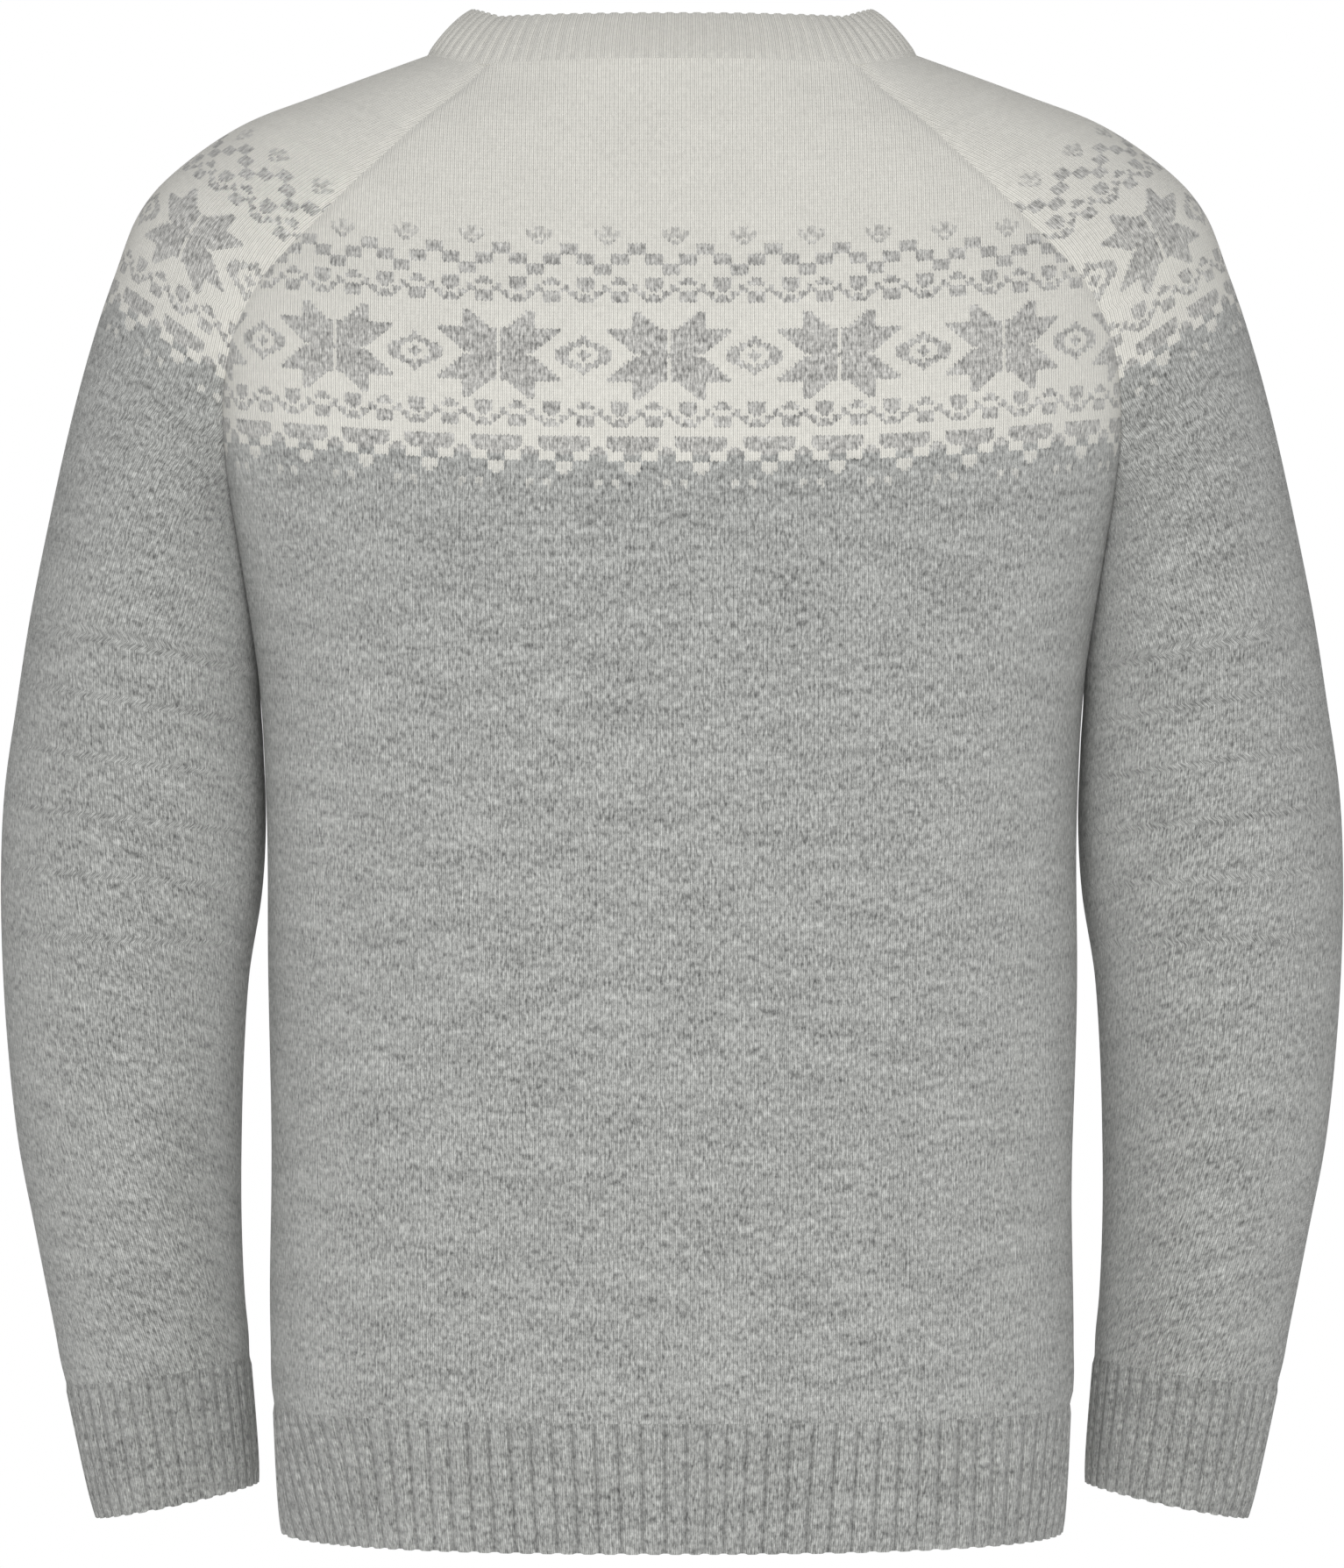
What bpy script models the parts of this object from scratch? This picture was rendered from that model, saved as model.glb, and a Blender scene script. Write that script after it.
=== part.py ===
"""A raglan pullover with a patterned yoke, in its worn, hollow form.

Metres, +Z up. The wearer faces -Y, with the left arm at +X. The origin is the middle of the neck's base,
level with the seam at the back of the neck. Two forms carry the whole garment. The torso is a stack of level
rounded sections. The left sleeve is a row of tilted rounded sections, open along the raglan seams down to the
underarm and closed from there to the cuff, and the right sleeve is its mirror image. Every piece is a grid of
points on one of these forms, given a wall towards the inside.
"""

import bpy
import numpy as np

# Driving sizes, in metres.
CLOTH_WALL = 0.0025
RIB_WALL = 0.0032
NECKBAND_WALL = 0.0038
SEAM_GAP = 0.0003
UNDERARM_GAP = 0.0010
NECK_FRONT_DEPTH = 0.082    # how far the front neck's middle is below the back neck
NECK_ROUNDNESS = 2.7        # 2 dips like a parabola, and more has a flatter middle
NECKBAND_WIDTH = 0.029
NECKBAND_LEAN = np.radians(41)  # from upright, towards the neck
NECKBAND_SWELL = 0.0012     # how far the band's middle stands out from a straight cone
HEM_SEAM = 0.597            # below the origin
HEM_EDGE = 0.654
SLEEVE_TUCK = 2.6           # a higher power turns the sleeve in nearer to its seam
NECK_DIP_FADE = 1.5         # a higher power levels the yoke's rows sooner below the neck

# How finely the pieces are divided. Pieces that meet along a seam share its points.
PANEL_COLUMNS = 18
SLEEVE_COLUMNS = 20
RAGLAN_ROWS = 12
LOWER_ROWS = 9
ARM_ROWS = 11
RIB_ROWS = 3
NECK_SAMPLES = 256
NECK_BLUR = 0.014           # standard deviation of the blur along the upper edge's height
NECK_TERMS = 5              # Fourier terms kept in the neckband's upper edge
NORMAL_STEP = 0.002         # radians and metres between the points that give a normal
SMOOTH_UP_TO = np.radians(60)

# Torso: one row for each level section. Squareness 2 is an ellipse.
TORSO_NAMES = ("down", "half_width", "back_depth", "front_depth", "squareness")
TORSO_SIZES = (
    (-0.010, 0.104, 0.063, 0.062, 2.20),
    (0.003, 0.118, 0.067, 0.065, 2.20),
    (0.032, 0.168, 0.078, 0.073, 2.24),
    (0.055, 0.192, 0.087, 0.082, 2.26),
    (0.077, 0.204, 0.095, 0.090, 2.28),
    (0.094, 0.209, 0.101, 0.096, 2.30),
    (0.115, 0.212, 0.107, 0.103, 2.32),
    (0.140, 0.210, 0.111, 0.109, 2.34),
    (0.180, 0.202, 0.114, 0.115, 2.36),
    (0.225, 0.193, 0.115, 0.118, 2.38),
    (0.268, 0.186, 0.114, 0.117, 2.40),
    (0.330, 0.182, 0.110, 0.113, 2.40),
    (0.400, 0.1815, 0.106, 0.110, 2.40),
    (0.500, 0.1795, 0.107, 0.112, 2.40),
    (0.565, 0.1798, 0.112, 0.115, 2.40),
    (0.597, 0.1785, 0.112, 0.114, 2.40),
    (0.654, 0.1760, 0.109, 0.110, 2.40),
)

# Raglan seams: one row for each sleeve section from the neck to the underarm. The angle is measured round
# the torso section, from its side (0) to the middle of the back or front (90).
RAGLAN_NAMES = ("back_down", "back_angle", "front_down", "front_angle")
RAGLAN_SIZES = (
    (0.001, 45.8, 0.020, 57.7),
    (0.032, 47.9, 0.042, 56.2),
    (0.055, 44.7, 0.062, 50.9),
    (0.077, 39.2, 0.082, 45.0),
    (0.094, 32.7, 0.100, 38.8),
    (0.115, 26.8, 0.120, 32.4),
    (0.140, 20.3, 0.144, 24.7),
    (0.180, 11.0, 0.182, 15.0),
    (0.225, 5.5, 0.226, 8.5),
    (0.268, 0.0, 0.268, 0.0),
)

# Left sleeve: one row for each section, by its outermost and innermost points and its depth. The first rows
# go with the raglan rows, and their inner points only say how round the section is.
SLEEVE_NAMES = ("outer_x", "outer_down", "inner_x", "inner_down", "centre_y", "half_depth")
SLEEVE_SIZES = (
    (0.1100, -0.0075, -0.0080, 0.100, -0.001, 0.0694),
    (0.1580, 0.010, -0.0100, 0.098, -0.001, 0.0700),
    (0.1935, 0.024, 0.0070, 0.120, -0.001, 0.0712),
    (0.2230, 0.0445, 0.0240, 0.138, -0.001, 0.0700),
    (0.2396, 0.0635, 0.0490, 0.152, -0.003, 0.0666),
    (0.2500, 0.089, 0.0750, 0.163, -0.005, 0.0625),
    (0.2595, 0.116, 0.1100, 0.173, -0.008, 0.0600),
    (0.2695, 0.152, 0.1515, 0.190, -0.012, 0.0625),
    (0.2810, 0.203, 0.1815, 0.234, -0.015, 0.0655),
    (0.2900, 0.246, 0.1870, 0.268, -0.018, 0.066),
    (0.2960, 0.285, 0.1855, 0.303, -0.019, 0.065),
    (0.3010, 0.322, 0.1845, 0.336, -0.021, 0.063),
    (0.3030, 0.360, 0.1863, 0.369, -0.024, 0.062),
    (0.3030, 0.401, 0.1915, 0.404, -0.027, 0.060),
    (0.3012, 0.441, 0.1942, 0.439, -0.032, 0.058),
    (0.2970, 0.482, 0.1956, 0.475, -0.037, 0.055),
    (0.2898, 0.522, 0.1962, 0.511, -0.043, 0.052),
    (0.2832, 0.559, 0.1954, 0.546, -0.049, 0.048),
    (0.2768, 0.593, 0.1932, 0.581, -0.055, 0.043),
    (0.2646, 0.655, 0.1887, 0.639, -0.062, 0.036),
)
UNDERARM_STATION = len(RAGLAN_SIZES) - 1
CUFF_STATION = len(SLEEVE_SIZES) - 2
EDGE_STATION = len(SLEEVE_SIZES) - 1
SEAM_TURN_STATIONS = 4.0  # sections over which the underarm seam turns to the inside of the arm

# Colours as linear values.
CREAM = (0.62, 0.60, 0.55, 1.0)
HEATHER_GREY = (0.36, 0.36, 0.345, 1.0)
WOOL_ROUGHNESS = 0.9


def read_table(columns, rows):
    """The table as one array for each named column."""
    return dict(zip(columns, np.array(rows, float).T))


TORSO = read_table(TORSO_NAMES, TORSO_SIZES)
RAGLAN = read_table(RAGLAN_NAMES, RAGLAN_SIZES)
SLEEVE = read_table(SLEEVE_NAMES, SLEEVE_SIZES)


def smooth(knots, values, at):
    """A cubic curve through the values, with the slope at each knot taken from both its neighbours."""
    step = np.diff(knots)
    rise = np.diff(values) / step
    slope = np.empty(len(knots))
    slope[1:-1] = (rise[:-1] * step[1:] + rise[1:] * step[:-1]) / (step[:-1] + step[1:])
    slope[0] = 1.5 * rise[0] - 0.5 * slope[1]
    slope[-1] = 1.5 * rise[-1] - 0.5 * slope[-2]
    below = np.clip(np.searchsorted(knots, at, side="right") - 1, 0, len(step) - 1)
    part = (at - knots[below]) / step[below]
    start = (1 + 2 * part) * (1 - part) ** 2 * values[below]
    leave = part * (1 - part) ** 2 * step[below] * slope[below]
    arrive = part**2 * (part - 1) * step[below] * slope[below + 1]
    end = part**2 * (3 - 2 * part) * values[below + 1]
    return start + leave + arrive + end


def torso_value(name, down):
    return smooth(TORSO["down"], TORSO[name], down)


def station_value(table, name, station):
    return smooth(np.arange(len(table[name]), dtype=float), table[name], station)


def torso_point(angle, down):
    """A point of the torso: the superellipse section at this level, at this angle from the left side."""
    power = 2 / torso_value("squareness", down)
    back = torso_value("back_depth", down)
    front = torso_value("front_depth", down)
    depth = np.where(np.sin(angle) >= 0, back, front)
    across = np.sign(np.cos(angle)) * np.abs(np.cos(angle)) ** power
    along = np.sign(np.sin(angle)) * np.abs(np.sin(angle)) ** power
    x = torso_value("half_width", down) * across
    return np.stack([x, depth * along, -down + 0 * x], axis=-1)


def torso_normal(angle, down):
    """The torso's outward unit normal, from points a small step to each side and above and below."""
    around = torso_point(angle + NORMAL_STEP, down) - torso_point(angle - NORMAL_STEP, down)
    downwards = torso_point(angle, down + NORMAL_STEP) - torso_point(angle, down - NORMAL_STEP)
    normal = np.cross(downwards, around)
    return normal / np.linalg.norm(normal, axis=-1, keepdims=True)


def panel_places(side, columns):
    """Angles and levels of the back (side 1) or front (side -1), anticlockwise from above, row below row.

    The yoke's rows run between the raglan seams, and the neck's edge dips towards its middle by a power
    curve, which the rows below follow less and less. The rest run level between the side seams.
    """
    name = "back" if side > 0 else "front"
    neck_middle = 0.0 if side > 0 else NECK_FRONT_DEPTH
    station = np.linspace(0, UNDERARM_STATION, RAGLAN_ROWS + 1)
    down, angle = raglan_at(name, station)
    lower = np.linspace(down[-1], HEM_SEAM, LOWER_ROWS + 1)[1:]
    fade = np.append((1 - station / UNDERARM_STATION) ** NECK_DIP_FADE, 0 * lower)
    across = np.linspace(-1, 1, columns + 1)
    dip = (neck_middle - down[0]) * (1 - np.abs(across) ** NECK_ROUNDNESS)
    neck_angle = angle_at_width(seam_point(name, 0.0)[0] * np.abs(across), down[0] + dip)
    shift = np.sign(across) * (np.pi / 2 - neck_angle) - across * (np.pi / 2 - angle[0])
    down = np.append(down, lower)[:, None] + np.outer(fade, dip)
    angle = np.append(angle, 0 * lower)[:, None]
    return side * np.pi / 2 + across * (np.pi / 2 - angle) + np.outer(fade, shift), down


def angle_at_width(x, down):
    """The angle at which the torso's section at this level is this far out from the middle."""
    share = np.minimum(x / torso_value("half_width", down), 1)
    return np.arccos(share ** (torso_value("squareness", down) / 2))


def raglan_at(name, station):
    """How far down, and at what angle, the back or front raglan seam is at each station."""
    angle = np.radians(station_value(RAGLAN, name + "_angle", station))
    return station_value(RAGLAN, name + "_down", station), np.maximum(angle, 0)


def seam_point(name, station):
    """Points of the left back or left front raglan seam."""
    down, angle = raglan_at(name, station)
    return torso_point(angle if name == "back" else -angle, down)


def sleeve_sections(stations):
    """Centre, outward direction, half width and half depth of the sleeve's ellipse at each station."""
    sides = []
    for side in ("outer", "inner"):
        x = station_value(SLEEVE, side + "_x", stations)
        down = station_value(SLEEVE, side + "_down", stations)
        sides.append(np.stack([x, 0 * x, -down], axis=-1))
    outer, inner = sides
    half_width = np.linalg.norm(outer - inner, axis=-1) / 2
    outward = (outer - inner) / (2 * half_width[:, None])
    centre = (outer + inner) / 2
    centre[:, 1] = station_value(SLEEVE, "centre_y", stations)
    return centre, outward, half_width, station_value(SLEEVE, "half_depth", stations)


def on_section(sections, angle):
    """Points of the ellipses at these angles, 0 at the outer side and 90 degrees at the back."""
    centre, outward, half_width, half_depth = sections
    reach = half_width[:, None] * np.cos(angle)
    points = centre[:, None, :] + outward[:, None, :] * reach[..., None]
    points[..., 1] += half_depth[:, None] * np.sin(angle)
    return points


def angle_of(sections, points):
    """The angle at which each section looks towards its point."""
    centre, outward, half_width, half_depth = sections
    ahead = np.einsum("ij,ij->i", points - centre, outward) / half_width
    sideways = (points[:, 1] - centre[:, 1]) / half_depth
    return np.arctan2(sideways, ahead)


def sleeve_grid(stations, columns):
    """Left sleeve, from the front seam over the outer side to the back seam, one row for each station.

    Above the underarm each ellipse is drawn to the raglan seams, by a share that grows with a power of the
    angle. Below it the section is closed, and its seam turns to the inside of the arm.
    """
    sections = sleeve_sections(stations)
    open_part = np.minimum(stations, UNDERARM_STATION)
    open_sections = sleeve_sections(open_part)
    turned = np.clip(stations - UNDERARM_STATION, 0, SEAM_TURN_STATIONS) / SEAM_TURN_STATIONS
    ends, pulls = [], []
    for name, inside in (("front", -np.pi), ("back", np.pi)):
        seam = seam_point(name, open_part)
        seam[:, 0] += UNDERARM_GAP * np.clip(open_part - UNDERARM_STATION + 1, 0, 1)
        angle = angle_of(open_sections, seam)
        if name == "front":
            angle = np.where(angle > 0, angle - 2 * np.pi, angle)
        pull = seam - on_section(open_sections, angle[:, None])[:, 0]
        ends.append((angle + turned * (inside - angle))[:, None])
        pulls.append((pull * (1 - turned)[:, None])[:, None, :])
    angle = np.linspace(ends[0], ends[1], columns + 1, axis=1)[..., 0]
    points = on_section(sections, angle)
    for end, pull in zip(ends, pulls):
        share = np.clip(angle / end, 0, 1) ** SLEEVE_TUCK
        points += share[..., None] * pull
    return points


def mirrored(grid):
    """The same grid on the other side of the garment, still running anticlockwise from above."""
    return grid[:, ::-1] * np.array([-1.0, 1.0, 1.0])


def pulled_back(grid, sides):
    """The grid with the named edges moved half a seam gap inwards, along the surface."""
    edges = {"left": (np.s_[:, 0], np.s_[:, 1]), "right": (np.s_[:, -1], np.s_[:, -2]),
             "top": (np.s_[0], np.s_[1]), "bottom": (np.s_[-1], np.s_[-2])}
    moved = grid.copy()
    for side in sides:
        edge, beside = edges[side]
        inwards = grid[beside] - grid[edge]
        moved[edge] += inwards / np.linalg.norm(inwards, axis=-1, keepdims=True) * SEAM_GAP / 2
    return moved


def outward_normals(grid, closed):
    """Unit normals of the grid, facing out of the garment, from the differences between neighbours."""
    around = np.concatenate([grid[:, -2:-1], grid, grid[:, 1:2]], axis=1)
    across = around[:, 2:] - around[:, :-2] if closed else np.gradient(grid, axis=1)
    normals = np.cross(np.gradient(grid, axis=0), across)
    return normals / np.linalg.norm(normals, axis=-1, keepdims=True)


def wool(name, colour):
    """Knitted wool: matt, with no metal in it."""
    material = bpy.data.materials.new(name + "_wool")
    material.use_nodes = True
    surface = material.node_tree.nodes["Principled BSDF"]
    surface.inputs["Base Color"].default_value = colour
    surface.inputs["Roughness"].default_value = WOOL_ROUGHNESS
    surface.inputs["Metallic"].default_value = 0.0
    material.diffuse_color = colour
    return material


def add_piece(name, grid, normals, wall, colour, garment, first_ring=None):
    """A closed solid: the grid, a copy of it moved in by the wall, and faces that join their edges.

    The columns close into a ring in every row from first_ring on, and None leaves all the rows open.
    """
    rows, columns = grid.shape[:2]
    first_ring = rows if first_ring is None else first_ring
    outside = np.arange(rows * columns).reshape(rows, columns)
    outside[first_ring:, -1] = outside[first_ring:, 0]
    to_inside = rows * columns
    corners = (outside[:-1, :-1], outside[1:, :-1], outside[1:, 1:], outside[:-1, 1:])
    outer_quads = np.stack(corners, axis=-1).reshape(-1, 4)
    quads = [outer_quads, outer_quads[:, [0, 3, 2, 1]] + to_inside]
    rims = [outside[0], outside[-1, ::-1]]
    if first_ring > 0:
        last_open = min(first_ring, rows - 1)
        rims += [outside[last_open::-1, 0], outside[: last_open + 1, -1]]
    for rim in rims:
        corners = (rim[:-1], rim[1:], rim[1:] + to_inside, rim[:-1] + to_inside)
        quads.append(np.stack(corners, axis=-1))
    used, faces = np.unique(np.concatenate(quads), return_inverse=True)
    points = np.concatenate([grid, grid - wall * normals]).reshape(-1, 3)[used]
    mesh = bpy.data.meshes.new(name)
    mesh.from_pydata(points.tolist(), [], faces.reshape(-1, 4).tolist())
    mesh.shade_smooth()
    mesh.set_sharp_from_angle(angle=SMOOTH_UP_TO)
    mesh.materials.append(wool(name, colour))
    piece = bpy.data.objects.new(name, mesh)
    bpy.context.scene.collection.objects.link(piece)
    piece.parent = garment
    return piece


def leaning(own, other):
    """Normals turned towards the neighbour's at a seam: fully where they agree, and not across a fold."""
    agreement = np.maximum(np.sum(own * other, axis=-1, keepdims=True), 0)
    shared = own + agreement * other
    return shared / np.linalg.norm(shared, axis=-1, keepdims=True)


def left_sleeve():
    """The left sleeve's grid and normals, from the neck to the cuff's seam."""
    raglan = np.linspace(0, UNDERARM_STATION, RAGLAN_ROWS + 1)
    arm = np.linspace(UNDERARM_STATION, CUFF_STATION, ARM_ROWS + 1)
    grid = sleeve_grid(np.append(raglan, arm[1:]), SLEEVE_COLUMNS)
    normals = outward_normals(grid, closed=False)
    normals[RAGLAN_ROWS:] = outward_normals(grid, closed=True)[RAGLAN_ROWS:]
    return grid, normals


def add_panels(garment):
    """Back and front, each with its half of the hem rib."""
    sleeve_normals = left_sleeve()[1][: RAGLAN_ROWS + 1]
    for side, name, seam, start in ((1, "back", -1, 0.0), (-1, "front", 0, np.pi)):
        places = panel_places(side, PANEL_COLUMNS)
        grid = pulled_back(torso_point(*places), ("left", "right", "top", "bottom"))
        normals = torso_normal(*places)
        beside_left = sleeve_normals[:, seam]
        beside_right = beside_left * np.array([-1.0, 1.0, 1.0])
        left, right = (0, -1) if side > 0 else (-1, 0)
        yoke = np.s_[: RAGLAN_ROWS + 1]
        normals[yoke, left] = leaning(normals[yoke, left], beside_left)
        normals[yoke, right] = leaning(normals[yoke, right], beside_right)
        add_piece(name, grid, normals, CLOTH_WALL, HEATHER_GREY, garment)
        places = np.meshgrid(np.linspace(start, start + np.pi, PANEL_COLUMNS + 1),
                             np.linspace(HEM_SEAM, HEM_EDGE, RIB_ROWS + 1))
        rib = pulled_back(torso_point(*places), ("left", "right", "top"))
        add_piece("hem_rib_" + name, rib, torso_normal(*places), RIB_WALL, HEATHER_GREY, garment)


def add_sleeves(garment):
    """Each sleeve from the neck to the cuff's seam, and its cuff."""
    left, normals = left_sleeve()
    yoke = np.s_[: RAGLAN_ROWS + 1]
    for side, name, seam in ((1, "back", -1), (-1, "front", 0)):
        down, angle = raglan_at(name, np.linspace(0, UNDERARM_STATION, RAGLAN_ROWS + 1))
        normals[yoke, seam] = leaning(normals[yoke, seam], torso_normal(side * angle, down))
    left[:RAGLAN_ROWS] = pulled_back(left[:RAGLAN_ROWS], ("left", "right", "top"))
    left = pulled_back(left, ("bottom",))
    cuff = sleeve_grid(np.linspace(CUFF_STATION, EDGE_STATION, RIB_ROWS + 1), SLEEVE_COLUMNS)
    cuff_normals = outward_normals(cuff, closed=True)
    cuff = pulled_back(cuff, ("top",))
    for name, turn in (("left", np.asarray), ("right", mirrored)):
        add_piece("sleeve_" + name, turn(left), turn(normals), CLOTH_WALL, HEATHER_GREY, garment,
                  first_ring=RAGLAN_ROWS)
        add_piece("cuff_" + name, turn(cuff), turn(cuff_normals), RIB_WALL, HEATHER_GREY, garment,
                  first_ring=0)


def neck_curve():
    """The neck's edge and its normals, anticlockwise from the left front corner, from the four pieces."""
    sleeve, sleeve_normals = left_sleeve()
    places = [panel_places(side, PANEL_COLUMNS) for side in (1, -1)]
    back, front = [torso_point(*place) for place in places]
    back_normals, front_normals = [torso_normal(*place) for place in places]
    points = [sleeve[0], back[0], mirrored(sleeve)[0], front[0]]
    normals = [sleeve_normals[0], back_normals[0], mirrored(sleeve_normals)[0], front_normals[0]]
    for before, after in zip(normals, normals[1:] + normals[:1]):
        after[0] = leaning(after[0], before[-1])
    ring = [np.concatenate([part[:-1] for part in parts] + [parts[0][:1]]) for parts in (points, normals)]
    return ring[0], ring[1]


def softened(ring, at):
    """The closed curve's first few Fourier terms across and along, and its blurred height, with their slopes,
    at these lengths along it.

    They keep the neck's round shape and its dip at the front, and leave out its corners at the raglan seams.
    """
    even = np.linspace(0, at[-1], NECK_SAMPLES + 1)[:-1]
    places = np.stack([np.interp(even, at, part) for part in ring.T], axis=-1)
    terms = np.fft.rfft(places, axis=0)
    order = np.arange(len(terms))[:, None]
    blur = np.exp(-((order * 2 * np.pi * NECK_BLUR / at[-1]) ** 2) / 2)
    terms = terms * np.where([True, True, False], order < NECK_TERMS, blur)
    slopes = terms * 1j * order
    curves = [np.fft.irfft(part, n=NECK_SAMPLES, axis=0) for part in (terms, slopes)]
    return [np.stack([np.interp(at, even, part, period=at[-1]) for part in curve.T], axis=-1)
            for curve in curves]


def add_neckband(garment):
    """A ribbed band from the neck's edge to a softer curve above it, leaning in, with a slight swell."""
    seam, seam_normals = neck_curve()
    length = np.append(0, np.cumsum(np.linalg.norm(np.diff(seam, axis=0), axis=-1)))
    soft, along = softened(seam, length)
    level = soft * np.array([1.0, 1.0, 0.0])
    level = level / np.linalg.norm(level, axis=-1, keepdims=True)
    facing = np.cos(NECKBAND_LEAN) * level + np.sin(NECKBAND_LEAN) * np.array([0.0, 0.0, 1.0])
    rise = np.cross(facing, along)
    rise = rise / np.linalg.norm(rise, axis=-1, keepdims=True)
    share = np.linspace(1, 0, RIB_ROWS + 1)[:, None, None]
    swell = 4 * share * (1 - share) * NECKBAND_SWELL
    grid = seam + share * (soft - seam + NECKBAND_WIDTH * rise) + swell * facing
    normals = outward_normals(grid, closed=True)
    normals[-1] = seam_normals
    grid = pulled_back(grid, ("bottom",))
    add_piece("neckband", grid, normals, NECKBAND_WALL, CREAM, garment, first_ring=0)


def main():
    for thing in list(bpy.data.objects):
        bpy.data.objects.remove(thing, do_unlink=True)
    garment = bpy.data.objects.new("garment", None)
    bpy.context.scene.collection.objects.link(garment)
    add_panels(garment)
    add_sleeves(garment)
    add_neckband(garment)


main()
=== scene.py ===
"""A knitted raglan pullover with a patterned yoke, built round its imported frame.

Metres, +Z up. The wearer faces -Y, with the left arm at +X, and the origin is the middle of the neck's base.
Two forms carry every piece: a stack of level rounded torso sections, and a row of tilted rounded sleeve
sections. Each knitted piece is a fine grid on one of them, raised or sunk along its normals for ribs, seams
and creases, with a second grid behind it for the wall's inner side. Its UV map counts stitches and rows.
"""

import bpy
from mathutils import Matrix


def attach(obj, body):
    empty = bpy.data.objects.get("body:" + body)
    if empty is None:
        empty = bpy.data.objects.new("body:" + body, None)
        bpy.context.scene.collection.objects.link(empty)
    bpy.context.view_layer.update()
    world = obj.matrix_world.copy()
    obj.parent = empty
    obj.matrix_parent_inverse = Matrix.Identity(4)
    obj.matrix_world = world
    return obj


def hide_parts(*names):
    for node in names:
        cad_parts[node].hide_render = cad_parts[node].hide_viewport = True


bl_info = {
    "name": "Patterned Raglan Pullover",
    "version": (1, 0, 0),
    "blender": (4, 5, 0),
    "location": "3D View > Sidebar > Pullover",
    "description": "Builds a knitted raglan pullover with a star and flower yoke, in its worn form",
    "category": "Object",
}

import bpy
import numpy as np
from bpy.props import FloatProperty, FloatVectorProperty, PointerProperty
from mathutils import Vector

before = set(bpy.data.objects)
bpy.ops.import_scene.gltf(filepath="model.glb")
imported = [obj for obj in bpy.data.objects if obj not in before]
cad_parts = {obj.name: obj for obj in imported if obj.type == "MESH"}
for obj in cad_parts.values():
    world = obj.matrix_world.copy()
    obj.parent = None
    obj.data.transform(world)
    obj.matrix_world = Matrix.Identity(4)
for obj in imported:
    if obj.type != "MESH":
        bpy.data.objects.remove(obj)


def linear(code):
    """An sRGB hex colour as linear red, green and blue."""
    share = np.array([int(code[i : i + 2], 16) for i in (1, 3, 5)]) / 255
    return tuple(np.where(share <= 0.04045, share / 12.92, ((share + 0.055) / 1.055) ** 2.4).tolist())


class PulloverSizes(bpy.types.PropertyGroup):
    """Sizes of the knitting that a user would change."""

    stitch: FloatProperty(name="Stitch width", description="One knitted stitch, across",
                          default=0.00186, min=0.001, max=0.01, unit="LENGTH")
    row: FloatProperty(name="Row height", description="One knitted row, down",
                       default=0.001515, min=0.001, max=0.01, unit="LENGTH")
    cloth_wall: FloatProperty(name="Cloth thickness", description="Thickness of the plain knitting",
                              default=0.0025, min=0.001, max=0.006, unit="LENGTH")
    rib_wall: FloatProperty(name="Rib thickness", description="Thickness of the ribbed knitting",
                            default=0.0030, min=0.001, max=0.006, unit="LENGTH")
    rib_relief: FloatProperty(name="Rib height", description="How far a rib stands above its furrow",
                              default=0.0011, min=0.0, max=0.003, unit="LENGTH")
    neck_relief: FloatProperty(name="Neckband rib height", description="The same for the flatter neckband",
                               default=0.0006, min=0.0, max=0.003, unit="LENGTH")
    hem_rib: FloatProperty(name="Hem rib pitch", description="From one rib of the hem to the next",
                           default=0.0095, min=0.004, max=0.02, unit="LENGTH")
    cuff_rib: FloatProperty(name="Cuff rib pitch", description="From one rib of the cuff to the next",
                            default=0.0080, min=0.004, max=0.02, unit="LENGTH")
    neck_rib: FloatProperty(name="Neckband rib pitch", description="From one rib of the neckband to the next",
                            default=0.0066, min=0.004, max=0.02, unit="LENGTH")
    row_sag: FloatProperty(name="Row sag", description="How far the yoke's rows hang lower in the middle",
                           default=0.012, min=0.0, max=0.03, unit="LENGTH")


class PulloverColours(bpy.types.PropertyGroup):
    """Colours of the yarns and the stage."""

    cream: FloatVectorProperty(name="Cream wool", description="Undyed lambswool of the yoke",
                               default=linear("#DFDDD5"), min=0.0, max=1.0, size=3, subtype="COLOR")
    heather: FloatVectorProperty(name="Heather grey wool", description="Mixed grey lambswool of the body",
                                 default=linear("#A3A4A1"), min=0.0, max=1.0, size=3, subtype="COLOR")
    motif: FloatVectorProperty(name="Motif grey", description="The heather grey with cream fibres over it",
                               default=linear("#B5B4B0"), min=0.0, max=1.0, size=3, subtype="COLOR")
    rib: FloatVectorProperty(name="Grey rib", description="The heather grey in the ribs",
                             default=linear("#9FA09D"), min=0.0, max=1.0, size=3, subtype="COLOR")
    floor: FloatVectorProperty(name="Floor", description="The pale floor",
                               default=linear("#F4F4F3"), min=0.0, max=1.0, size=3, subtype="COLOR")


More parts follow.
